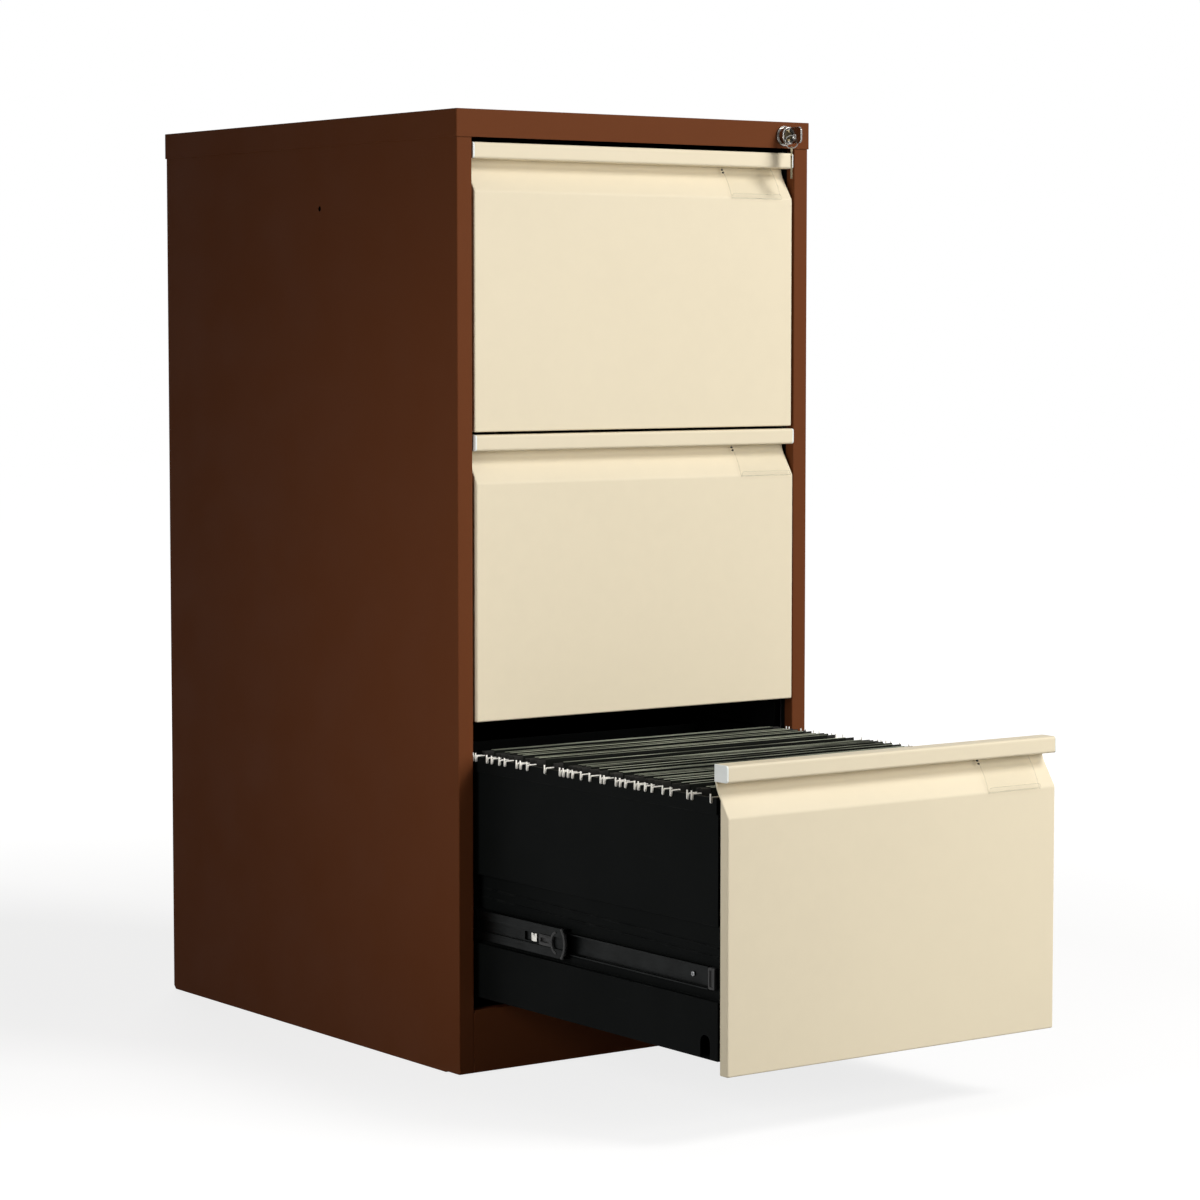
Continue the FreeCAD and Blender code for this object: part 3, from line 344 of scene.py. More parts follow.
def enamel(name, colour, worn, gloss, specular, edge=0.0009, peel=0.10, mottle=0.05, inside=None):
    """Baked enamel on sheet steel: slight cloudiness, orange peel, rubbed edges and fine scuffs, with black painted
    shade inside a box where asked.
    """
    material, tree, shader = new_material(name)
    cloud = spread(tree, noise(tree, 2.3, 4.0), 0.3, 0.7)
    base = mixed(tree, cloud, tone(colour, 1.0 - mottle), tone(colour, 1.0 + mottle))
    fine = spread(tree, noise(tree, 60.0, 5.0), 0.35, 0.65)
    base = mixed(tree, product(tree, fine, 0.25), base, tone(colour, 1.0 + 2.0 * mottle))
    edges, normal = edge_share(tree, edge)
    patchy = spread(tree, noise(tree, 45.0, 4.0), 0.42, 0.62)
    base = mixed(tree, product(tree, product(tree, edges, patchy), 0.55), base, worn)
    scuff = spread(tree, noise(tree, 30.0, 6.0, stretch=(0.25, 0.25, 5.0), rough=0.7), 0.66, 0.80)
    base = mixed(tree, product(tree, scuff, 0.20), base, worn)
    # Painted shade: the colour turns black inside the box, where the carcass's inside lies in shade.
    if inside is not None:
        base = mixed(tree, inside_share(tree, *inside[1:]), base, inside[0])
    cloudy = spread(tree, noise(tree, 14.0, 4.0), 0.3, 0.7, gloss - 0.05, gloss + 0.07)
    skin = relief(tree, noise(tree, 700.0, 2.0), peel, 0.0004, normal)
    set_inputs(tree, shader, Base_Color=base, Specular_IOR_Level=specular, Roughness=cloudy, Normal=skin)
    return material


def metal(name, colour, gloss, grain=(1, 1, 1), grain_scale=900.0, grain_depth=0.15, edge=0.0003, dull=0.55,
          metallic=1.0):
    """Bare or plated steel with a drawn grain, darker blotches and a painted highlight along its edges."""
    material, tree, shader = new_material(name)
    blotch = spread(tree, noise(tree, 35.0, 5.0), 0.35, 0.70)
    base = mixed(tree, blotch, colour, tone(colour, dull))
    edges, normal = edge_share(tree, edge)
    # Painted highlight: the colour is brightened along the edges.
    base = mixed(tree, product(tree, edges, 0.6), base, tone(colour, 1.25))
    grainy = noise(tree, grain_scale, 3.0, stretch=grain)
    rough = spread(tree, grainy, 0.3, 0.7, gloss - 0.06, gloss + 0.10)
    set_inputs(tree, shader, Base_Color=base, Metallic=metallic, Specular_IOR_Level=0.5 * metallic,
               Roughness=rough, Normal=relief(tree, grainy, grain_depth, 0.0001, normal))
    return material


def moulded(name, colour, gloss, specular=0.4, edge=0.0005):
    """Moulded plastic with a fine etched skin and a few grey rubs."""
    material, tree, shader = new_material(name)
    cloud = spread(tree, noise(tree, 40.0, 3.0), 0.3, 0.7)
    base = mixed(tree, cloud, tone(colour, 0.96), tone(colour, 1.03))
    edges, normal = edge_share(tree, edge)
    base = mixed(tree, product(tree, edges, 0.3), base, tone(colour, 0.85))
    rough = spread(tree, noise(tree, 90.0), 0.3, 0.7, gloss - 0.05, gloss + 0.05)
    skin = relief(tree, noise(tree, 2500.0, 1.0), 0.06, 0.0002, normal)
    set_inputs(tree, shader, Base_Color=base, Specular_IOR_Level=specular, Roughness=rough, Normal=skin)
    return material


def clear_sheet(name, colour, faint=0.035, cut=0.60):
    """Thin clear plastic: nearly unseen, with darker cut edges and faint streaks."""
    material, tree, shader = new_material(name)
    streak = spread(tree, noise(tree, 60.0, 4.0, stretch=(1.0, 6.0, 6.0)), 0.35, 0.75)
    edges = edge_share(tree, 0.0005)[0]
    base = mixed(tree, streak, tone(colour, 1.0), tone(colour, 0.92))
    base = mixed(tree, edges, base, tone(colour, 0.35))
    set_inputs(tree, shader, Base_Color=base, Alpha=spread(tree, edges, 0.0, 1.0, faint, cut),
               Specular_IOR_Level=0.10, Roughness=spread(tree, streak, 0.0, 1.0, 0.20, 0.32),
               Normal=relief(tree, streak, 0.05, 0.0003))
    return material


def card(name, colour, lit_hem, top):
    """Pressed card of a hanging file: mottled fibres, near black as painted shade between the files, and a patchy
    lighter band along the top of the hem over its bar as painted light.
    """
    material, tree, shader = new_material(name)
    fibre = spread(tree, noise(tree, 260.0, 6.0, stretch=(0.3, 2.5, 2.5), rough=0.7), 0.35, 0.65)
    base = mixed(tree, fibre, tone(colour, 0.7), tone(colour, 1.3))
    height = tree.nodes.new("ShaderNodeSeparateXYZ")
    tree.links.new(place_of(tree), height.inputs[0])
    # Painted light: the top of the hem turns lighter, while the card below stays near black as painted shade.
    hem = spread(tree, height.outputs["Z"], top - 0.00045, top - 0.0001)
    rubbed = mixed(tree, spread(tree, noise(tree, 45.0, 5.0, stretch=(0.15, 3.0, 1.0)), 0.35, 0.65),
                   tone(lit_hem, 0.12), tone(lit_hem, 1.15))
    base = mixed(tree, hem, base, rubbed)
    set_inputs(tree, shader, Base_Color=base, Specular_IOR_Level=0.02,
               Roughness=spread(tree, fibre, 0.0, 1.0, 0.55, 0.75), Normal=relief(tree, fibre, 0.25, 0.0002))
    return material


# What a user would change

def a_colour(name, default, description):
    return FloatVectorProperty(name=name, description=description, subtype="COLOR", size=4, min=0.0, max=1.0,
                               default=default + (1.0,))


def a_length(name, default, description):
    return FloatProperty(name=name, description=description, unit="LENGTH", default=default)


def a_power(name, default, description):
    return FloatProperty(name=name, description=description, unit="POWER", default=default, min=0.0)


class CabinetColours(bpy.types.PropertyGroup):
    """Colours of the finishes"""
    brown: a_colour("Carcass enamel", (0.136, 0.0425, 0.0155), "Colour of the carcass")
    brown_worn: a_colour("Carcass enamel, rubbed", (0.235, 0.085, 0.038), "Colour of rubbed carcass edges")
    cream: a_colour("Front enamel", (0.775, 0.690, 0.515), "Colour of fronts and handles")
    cream_worn: a_colour("Front enamel, rubbed", (0.86, 0.82, 0.68), "Colour of rubbed front edges")
    black: a_colour("Tray enamel", (0.0055, 0.0063, 0.0062), "Colour of the trays and posts")
    black_worn: a_colour("Tray enamel, rubbed", (0.045, 0.048, 0.046), "Colour of rubbed tray edges")
    slide: a_colour("Slide steel", (0.013, 0.0145, 0.0145), "Colour of the slide members")
    zinc: a_colour("Zinc", (0.42, 0.43, 0.44), "Colour of zinc plated parts")
    nickel: a_colour("Nickel", (0.86, 0.84, 0.78), "Colour of the slides' springs and the files' hooks")
    chrome: a_colour("Chrome", (0.36, 0.35, 0.33), "Colour of the lock's housing, its key and the key ring")
    bar: a_colour("Bar steel", (0.020, 0.020, 0.018), "Colour of the files' bars")
    spare: a_colour("Spare key", (0.46, 0.40, 0.26), "Colour of the spare key")
    brass: a_colour("Brass", (0.50, 0.40, 0.24), "Colour of the lock's plug")
    end_cap: a_colour("End caps", (0.86, 0.90, 0.88), "Colour of the handle end caps")
    clear: a_colour("Label holders", (0.52, 0.50, 0.36), "Tint of the clear label holders")
    foot: a_colour("Feet", (0.02, 0.02, 0.02), "Colour of the levelling feet")
    # The file card's colour is near black as painted shade between the files; the hem colour below is painted light
    # on the top of each hem, in the card's own green-grey.
    card: a_colour("File card", (0.007, 0.008, 0.0065), "Colour of the hanging files")
    card_lit_hem: a_colour("File card, faded", (0.42, 0.45, 0.35), "Colour of the files' rubbed hems")


class CabinetStage(bpy.types.PropertyGroup):
    """Camera, floor and lamps"""
    camera_place: FloatVectorProperty(name="Camera place", description="Where the camera stands", subtype="XYZ",
                                      size=3, unit="LENGTH", default=(-2.2788, -3.4032, 0.7885))
    camera_turn: FloatProperty(name="Camera turn", description="How far the camera turns to the right of straight on",
                               subtype="ANGLE", default=math.radians(35.763))
    camera_pitch: FloatProperty(name="Camera pitch", description="How far the camera looks up, or down if negative",
                                subtype="ANGLE", default=math.radians(-4.376))
    lens: FloatProperty(name="Lens", description="Focal length for a 36 mm sensor, in millimetres", default=106.54)
    key_power: a_power("Key light", 108.0, "Power of the large lamp at the right")
    fill_power: a_power("Fill light", 67.0, "Power of the lamp in front")
    side_power: a_power("Side light", 7.0, "Power of the lamp at the left")
    back_power: a_power("Back light", 36.0, "Power of the lamp behind the cabinet")
    low_power: a_power("Low light", 4.1, "Power of the lamp low beside the open drawer")
    ambient: FloatProperty(name="Ambient", description="Strength of the light from all round", default=0.0, min=0.0)
    floor_tone: FloatProperty(name="Floor", description="Share of light that the floor throws back", default=0.25,
                              min=0.0, max=1.0, subtype="FACTOR")
    floor_glow: FloatProperty(name="Floor glow", description="How much white the camera sees on the floor beside the "
                              "light that falls on it", default=0.8, min=0.0)


class CabinetSizes(bpy.types.PropertyGroup):
    """Sizes of the pieces that are modelled here"""
    bar_thickness: a_length("Bar thickness", 0.0015, "Thickness of the files' steel bars")
    bar_height: a_length("Bar height", 0.012, "Height of the files' steel bars")
    bar_rise: a_length("Bar rise", 0.005, "Height of the bars' top above the rails")
    bar_reach: a_length("Bar reach", 0.2, "Distance of the bars' straight part from the middle")
    bar_round: a_length("Bar rounding", 0.0003, "Rounding of the bars' edges")
    hook_stroke: a_length("Hook stroke", 0.0011, "Thickness of the hooks' flat wire")
    hook_width: a_length("Hook width", 0.0014, "Width of the hooks' flat wire")
    hook_gap: a_length("Hook gap", 0.0006, "Gap between the two limbs of a hook")
    hook_clearance: a_length("Hook clearance", 0.0002, "Gap between a hook and the rail under it")
    hook_drop: a_length("Hook drop", 0.0046, "How far a hook hangs below the rail's top")
    hook_rise: a_length("Hook rise", 0.0042, "How far a hook's tip stands above the rail's top")
    hook_root: a_length("Hook root", 0.004, "How far a hook's root reaches into its bar")
    card_thickness: a_length("Card thickness", 0.0005, "Thickness of the files' card")
    card_clearance: a_length("Card clearance", 0.0003, "Gap between card and bar")
    hem_height: a_length("Hem height", 0.01, "Height of the card's hem inside the file")
    label_height: a_length("Label height", 0.0336, "Height of the label holders above the fold")
    label_thickness: a_length("Label thickness", 0.0009, "Thickness of the clear sheet")
    label_lip: a_length("Label lip", 0.0045, "Height of the leaf that holds the label's lower edge")
    label_lip_gap: a_length("Label lip gap", 0.0017, "Depth of the groove for the label's lower edge")
    label_corner: a_length("Label corner", 0.003, "Rounding of the lip's corners")
    pin_radius: a_length("Pin radius", 0.0010, "Radius of the label holders' pins")
    stop_radius: a_length("Stop radius", 0.022, "Radius of the slide stops' bow")
    stop_depth: a_length("Stop depth", 0.0036, "Depth of the slide stops across the slide")
    stop_proud: a_length("Stop proud", 0.0006, "How far the slide stops stand out of their member")
    stop_wall: a_length("Stop wall", 0.0028, "Thickness of the slide stops' bow")
    stop_ahead: a_length("Stop ahead", 0.002, "How far the slide stops reach in front of their member")
    latch_behind: a_length("Latch place", 0.01, "Distance of the latch's centre behind the member's front end")
    latch_radius: a_length("Latch radius", 0.0115, "Radius of the latch's ears")
    latch_length: a_length("Latch length", 0.022, "Length of the latch's block")
    latch_half: a_length("Latch half height", 0.0058, "Half of the height of the latch's block")
    clip_behind: a_length("Spring place", 0.053, "Distance of the spring behind the member's front end")
    clip_length: a_length("Spring length", 0.007, "Length of the spring's tongue")
    clip_height: a_length("Spring height", 0.0088, "Height of the spring's tongue")
    clip_sunk: a_length("Spring depth", 0.0018, "Distance of the spring from the member's outer face")
    end_length: a_length("End block length", 0.01, "Length of the block on a slide's inner member")
    end_inset: a_length("End block inset", 0.0003, "How far the end block's sides stand inside its member's")
    end_clearance: a_length("End block clearance", 0.0004, "Gap above and below the end block")
    end_rim: a_length("End block rim", 0.0018, "Width of the rim round the end block's pocket")
    end_pocket: a_length("End block pocket", 0.0012, "Depth of the end block's pocket")
    block_round: a_length("Block rounding", 0.0008, "Rounding of the slides' plastic blocks")
    bow_round: a_length("Bow rounding", 0.0004, "Rounding of the slide stops' bows")
    web: a_length("Web", 0.0012, "Thickness of a slide member's steel")
    rivet_behind: a_length("Rivet place", 0.028, "Distance of the rivet behind the inner member's front end")
    rivet_radius: a_length("Rivet radius", 0.0026, "Radius of the slides' rivets")
    rivet_height: a_length("Rivet height", 0.0016, "Height of the slides' rivets")
    # The inside finish that these two sizes bound is black painted shade on the carcass's brown enamel.
    sheet: a_length("Sheet", 0.0006, "Depth under the carcass's outer faces where its inside finish begins")
    painted_shade_from: a_length("Inside from", 0.013, "Depth behind the stiles where the inside finish begins")
    hem_steps: IntProperty(name="Hem steps", description="Steps round the hem over a bar", default=6, min=3)


def colours():
    return bpy.context.scene.cabinet_colours


def sizes():
    return bpy.context.scene.cabinet_sizes


def dress(material, *nodes):
    """Puts one material in every slot of the CAD nodes."""
    for name in nodes:
        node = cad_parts[name]
        if not node.material_slots:
            node.data.materials.append(material)
        for place in node.material_slots:
            place.material = material


def made(name):
    """Material that an operator made before."""
    material = bpy.data.materials.get("finish_" + name)
    if material is None:
        raise RuntimeError("no finish named " + name)
    return material


def light_paths(tree, *kinds):
    """1 for rays of these kinds, else 0."""
    paths = tree.nodes.new("ShaderNodeLightPath")
    total = paths.outputs["Is " + kinds[0]]
    for kind in kinds[1:]:
        larger = tree.nodes.new("ShaderNodeMath")
        larger.operation = "MAXIMUM"
        tree.links.new(total, larger.inputs[0])
        tree.links.new(paths.outputs["Is " + kind], larger.inputs[1])
        total = larger.outputs[0]
    return total


class CABINET_OT_stage(bpy.types.Operator):
    """Camera, floor, backdrop and soft studio lamps"""
    bl_idname = "cabinet.stage"
    bl_label = "Stage"

    def execute(self, context):
        setting = context.scene.cabinet_stage
        self.camera(context, setting)
        self.world(context, setting)
        self.floor(setting)
        self.lamps(setting)
        context.scene.view_settings.view_transform = "Standard"
        return {"FINISHED"}

    def camera(self, context, setting):
        deselect_all()
        turn = (math.radians(90) + setting.camera_pitch, 0, -setting.camera_turn)
        bpy.ops.object.camera_add(location=setting.camera_place, rotation=turn)
        camera = context.active_object
        camera.name = "camera"
        camera.data.sensor_width = SENSOR_MM
        camera.data.lens = setting.lens
        camera.data.clip_start = CLIP_NEAR
        camera.data.clip_end = CLIP_FAR
        context.scene.camera = camera

    def world(self, context, setting):
        world = bpy.data.worlds.new("studio")
        context.scene.world = world
        world.use_nodes = True
        tree = world.node_tree
        around = tree.nodes["Background"]
        set_inputs(tree, around, Color=AMBIENT_COLOUR, Strength=setting.ambient)
        white = add(tree, "Background", Color=(1, 1, 1, 1), Strength=1.0)
        seen = light_paths(tree, "Camera Ray", "Glossy Ray", "Transmission Ray")
        choice = tree.nodes.new("ShaderNodeMixShader")
        tree.links.new(seen, choice.inputs[0])
        tree.links.new(around.outputs[0], choice.inputs[1])
        tree.links.new(white.outputs[0], choice.inputs[2])
        tree.links.new(choice.outputs[0], tree.nodes["World Output"].inputs["Surface"])

    def floor(self, setting):
        """Floor that keeps the shadow near the cabinet and turns white farther out."""
        floor = new_piece("floor", "plane", size=1.0)
        floor.scale = (FLOOR_WIDTH, FLOOR_WIDTH, 1.0)
        settle(floor)
        material, tree, shader = new_material("floor_white")
        pale = setting.floor_tone
        mottle = spread(tree, noise(tree, 3.0), 0.3, 0.7)
        shade = mixed(tree, mottle, (pale, pale, pale, 1), (pale * 0.99, pale * 0.99, pale * 0.985, 1))
        apart = tree.nodes.new("ShaderNodeVectorMath")
        apart.operation = "LENGTH"
        tree.links.new(place_of(tree), apart.inputs[0])
        glow = spread(tree, apart.outputs["Value"], GLOW_FROM, GLOW_FULL, setting.floor_glow, 1.0)
        seen = light_paths(tree, "Camera Ray", "Glossy Ray", "Transmission Ray")
        set_inputs(tree, shader, Base_Color=shade, Roughness=0.9, Specular_IOR_Level=0.0,
                   Emission_Color=(1, 1, 1, 1), Emission_Strength=product(tree, seen, glow))
        floor.data.materials.append(material)
        for name, place, turn, size in FLAGS:
            self.flag(name, place, turn, size)

    def flag(self, name, place, turn, size):
        """Black board that only reflections show, as studios stand round enamel and chrome."""
        flag = new_piece(name, "plane", size=1.0, location=place, rotation=[math.radians(a) for a in turn])
        flag.scale = size + (1.0,)
        settle(flag)
        material, tree, shader = new_material(name + "_black")
        shade = mixed(tree, noise(tree, 2.0), (0.02, 0.02, 0.02, 1), (0.03, 0.03, 0.03, 1))
        set_inputs(tree, shader, Base_Color=shade, Specular_IOR_Level=0.0)
        flag.data.materials.append(material)
        for ray in ("camera", "shadow", "diffuse", "transmission"):
            setattr(flag, "visible_" + ray, False)

    def lamps(self, setting):
        for name, place, aim, size in LAMPS:
            deselect_all()
            bpy.ops.object.light_add(type="AREA", location=place)
            lamp = bpy.context.active_object
            lamp.name = name
            lamp.rotation_mode = "QUATERNION"
            lamp.rotation_quaternion = (Vector(aim) - Vector(place)).to_track_quat("-Z", "Y")
            lamp.data.shape = "RECTANGLE"
            lamp.data.size, lamp.data.size_y = size
            lamp.data.energy = getattr(setting, name + "_power")
            lamp.data.color = LAMP_COLOUR


class CABINET_OT_finishes(bpy.types.Operator):
    """Finishes of the steel carcass, fronts, trays, posts and fittings"""
    bl_idname = "cabinet.finishes"
    bl_label = "Finishes"

    def execute(self, context):
        paint = colours()
        # Inside the carcass the brown enamel turns black: painted shade.
        low, high = self.painted_shade_room()
        brown = enamel("brown_enamel", paint.brown, tuple(paint.brown_worn), 0.52, 0.022,
                       inside=(tuple(paint.black), low, high), mottle=0.03)
        cream = enamel("cream_enamel", paint.cream, tuple(paint.cream_worn), 0.45, 0.12, edge=0.0012, peel=0.06,
                       mottle=0.02)
        black = enamel("black_enamel", paint.black, tuple(paint.black_worn), 0.48, 0.018, edge=0.0010)
        zinc = metal("zinc", tuple(paint.zinc), 0.40)
        slide = metal("slide_steel", tuple(paint.slide), 0.38, grain=(1, 0.05, 1), grain_depth=0.25)
        nickel = metal("nickel", tuple(paint.nickel), 0.24, grain_scale=1500.0, grain_depth=0.05, dull=0.85)
        chrome = metal("chrome", tuple(paint.chrome), 0.14, grain_scale=1500.0, grain_depth=0.04, dull=0.6)
        metal("hook_wire", tone(paint.nickel, 1.1), 0.35, grain_scale=1500.0, grain_depth=0.05, dull=0.9,
              metallic=0.25)
        spare = metal("spare_key", tuple(paint.spare), 0.22, grain_scale=1500.0, grain_depth=0.05)
        metal("bar_steel", tuple(paint.bar), 0.42, grain=(0.05, 1, 1), grain_depth=0.25, metallic=0.1)
        brass = metal("plug_brass", tuple(paint.brass), 0.25, grain_scale=1500.0, grain_depth=0.05)
        pale = moulded("pale_plastic", paint.end_cap, 0.38)
        black_plastic = moulded("black_plastic", paint.foot, 0.5)
        clear = clear_sheet("clear_plastic", paint.clear)
        file_card = card("file_card", paint.card, paint.card_lit_hem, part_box("file_pockets")[1][2])
        dress(brown, "side_panel_left", "side_panel_right", "back_panel", "top_cap", "plinth_front")
        dress(black, "base_pan", "posts_left", "posts_right", "lock_rail")
        dress(zinc, "back_rivets", "lock_cam", "lock_bolt", "bolt_guides")
        dress(black_plastic, "levelling_feet")
        dress(nickel, "hanger_bars")
        dress(spare, "spare_key")
        dress(chrome, "lock_housing", "key", "key_ring")
        dress(brass, "lock_plug")
        dress(file_card, "file_pockets")
        for name in DRAWERS:
            dress(cream, "front_panel_" + name, "handle_bar_" + name)
            dress(pale, "handle_caps_" + name)
            dress(clear, "label_holder_" + name)
            dress(black, "tray_" + name)
            dress(slide, "slide_cages_" + name, "slide_clips_" + name)
            for side in SIDES:
                for member in ("outer", "middle", "inner"):
                    dress(slide, "_".join(("slide", member, name, side)))
        return {"FINISHED"}

    def painted_shade_room(self):
        """The room inside the carcass, where black painted shade covers its brown enamel."""
        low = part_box("side_panel_left")[0]
        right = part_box("side_panel_right")[1]
        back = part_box("back_panel")[1]
        sheet = sizes().sheet
        return ((low[0] + sheet, low[1] + sizes().painted_shade_from, 0.0),
                (right[0] - sheet, back[1] - sheet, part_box("top_cap")[1][2] - 2 * sheet))


def bar_places():
    """y of the middle of each of the files' bars, from front to back."""
    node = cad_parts["hanger_bars"]
    levels = sorted({round((node.matrix_world @ v.co).y, 5) for v in node.data.vertices})
    return [(front + back) / 2 for front, back in zip(levels[::2], levels[1::2])]


class CABINET_OT_file_bars(bpy.types.Operator):
    """Steel bars of the hanging files, hooked over the rails of the open drawer"""
    bl_idname = "cabinet.file_bars"
    bl_label = "File bars"

    def execute(self, context):
        size = sizes()
        places = bar_places()
        first = self.bar(size, places[0])
        for k, y in enumerate(places):
            bar = copy_of(first, f"file_bar_{k + 1:02d}", (0, y - places[0], 0))
            finished(bar, "drawer_bottom", None, "chrome", "hanger_bars")
        bpy.data.objects.remove(first)
        return {"FINISHED"}

    def bar(self, size, y):
        """One bar: half of it is modelled, then mirrored."""
        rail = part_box("tray_bottom")[1][2]
        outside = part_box("hanger_bars")[0][0]
        top = rail + size.bar_rise
        body = new_piece("file_bar", "cube", size=1.0, location=(-size.bar_reach / 2, y, top - size.bar_height / 2))
        body.scale = (size.bar_reach, size.bar_thickness, size.bar_height)
        settle(body)
        edit(body, "FACE")
        choose(body, "faces", lambda f: f.normal.x > 0.9)
        bpy.ops.mesh.delete(type="FACE")
        leave_edit()
        round_edges(body, size.bar_round)
        hook = ribbon("hook", self.hook_line(size, outside, rail, y), size.hook_width, along_y=True)
        thicken(hook, size.hook_stroke)
        clean(hook)
        round_edges(hook, size.bar_round)
        body.data.materials.append(made("bar_steel"))
        hook.data.materials.append(made("hook_wire"))
        bar = joined(body, hook)
        apply_modifier(bar, "MIRROR", use_axis=(True, False, False), merge_threshold=MERGE_GAP)
        clean(bar, FINE_GAP)
        smooth(bar)
        return bar

    def hook_line(self, size, outside, rail, y):
        """From the bar over the rail, down its outside, round and up again."""
        stroke = size.hook_stroke
        link = rail + size.hook_clearance + stroke / 2
        outer = outside + stroke / 2
        inner = outer + size.hook_gap + stroke
        turn = (inner - outer) / 2
        bottom = rail - size.hook_drop + turn
        corner = arc((inner + turn, link - turn), turn, 90, 180, 3)
        round_bottom = arc((inner - turn, bottom), turn, 0, -180, 6)
        line = [(-size.bar_reach + size.hook_root, link)] + corner + round_bottom + [(outer, rail + size.hook_rise)]
        return [(x, y, z) for x, z in line]


class CABINET_OT_hanging_files(bpy.types.Operator):
    """Folded card between each pair of bars, wrapped round both of them"""
    bl_idname = "cabinet.hanging_files"
    bl_label = "Hanging files"

    def execute(self, context):
        places = bar_places()
        file_card = made("file_card")
        for k, (front, back) in enumerate(zip(places[::2], places[1::2])):
            pocket = self.pocket(sizes(), front, back)
            pocket.name = f"hanging_file_{k + 1:02d}"
            finished(pocket, "drawer_bottom", file_card, "file_card", "file_pockets")
        return {"FINISHED"}

    def pocket(self, size, front, back):
        low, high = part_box("file_pockets")
        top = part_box("tray_bottom")[1][2] + size.bar_rise
        r = size.bar_thickness / 2 + size.card_clearance + size.card_thickness / 2
        centre = top - size.bar_thickness / 2
        below = top - size.bar_height - r
        fold = (front + back) / 2
        hem_in = [(front + r, top - size.hem_height)] + arc((front, centre), r, 0, 180, size.hem_steps)
        turn = arc((fold, low[2] + r), r, 180, 360, size.hem_steps)
        hem_out = arc((back, centre), r, 0, 180, size.hem_steps) + [(back - r, top - size.hem_height)]
        line = hem_in + [(front - r, below)] + turn + [(back + r, below)] + hem_out
        sheet = ribbon("pocket", [(0.0, y, z) for y, z in line], high[0] - low[0])
        thicken(sheet, size.card_thickness)
        clean(sheet)
        smooth(sheet)
        return sheet


class CABINET_OT_label_holders(bpy.types.Operator):
    """Curved clear label holders with a lip below and two small pins at the top left"""
    bl_idname = "cabinet.label_holders"
    bl_label = "Label holders"

    def execute(self, context):
        size = sizes()
        for name in DRAWERS:
            node = "label_holder_" + name
            low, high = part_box(node)
            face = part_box("front_panel_" + name)[0][1]
            fold = high[2] - size.label_height
            sheet = self.sheet(size, low, high, face, fold)
            sheet.name = "label_sheet_" + name
            finished(sheet, "drawer_" + name, made("clear_plastic"), "clear_plastic", node)
            pins = self.pins(size, low[0], face, fold)
            pins.name = "label_pins_" + name
            finished(pins, "drawer_" + name, made("black_plastic"), "black_plastic", node)
        return {"FINISHED"}

    def sheet(self, size, low, high, face, fold):
        """The sheet, drawn from the top down, with a second leaf turned up in front of its lower end."""
        line = [(d * MM, h * MM) for d, h in LABEL_CURVE]
        foot = line[-1]
        lip = size.label_lip_gap
        line += [(foot[0] - lip * 0.5, foot[1] - lip * 0.8), (foot[0] - lip, foot[1] - lip * 0.2),
                 (foot[0] - lip * 0.75, foot[1] + size.label_lip)]
        middle = (low[0] + high[0]) / 2
        sheet = ribbon("label_sheet", [(middle, face + d, fold + h) for d, h in line], high[0] - low[0])
        edit(sheet, "VERT")
        last = fold + line[-1][1]
        choose(sheet, "verts", lambda v: abs(v.co.z - last) < 1e-5 and v.co.y < face)
        bpy.ops.mesh.bevel(offset=size.label_corner, segments=4, affect="VERTICES")
        leave_edit()
        apply_modifier(sheet, "SUBSURF", levels=2, render_levels=2, boundary_smooth="PRESERVE_CORNERS")
        thicken(sheet, size.label_thickness)
        clean(sheet, FINE_GAP)
        smooth(sheet, 50)
        return sheet

    def pins(self, size, left, face, fold):
        """Two pins of the hook at the upper left corner."""
        pins = []
        for depth, height in LABEL_PINS:
            place = (left - size.pin_radius, face + depth * MM, fold + height * MM)
            pin = new_piece("pin", "cylinder", vertices=16, radius=size.pin_radius, depth=size.pin_radius * 2,
                            location=place, rotation=(math.radians(90), 0, 0))
            settle(pin)
            round_edges(pin, size.pin_radius * 0.3)
            pins.append(pin)
        return joined(*pins)


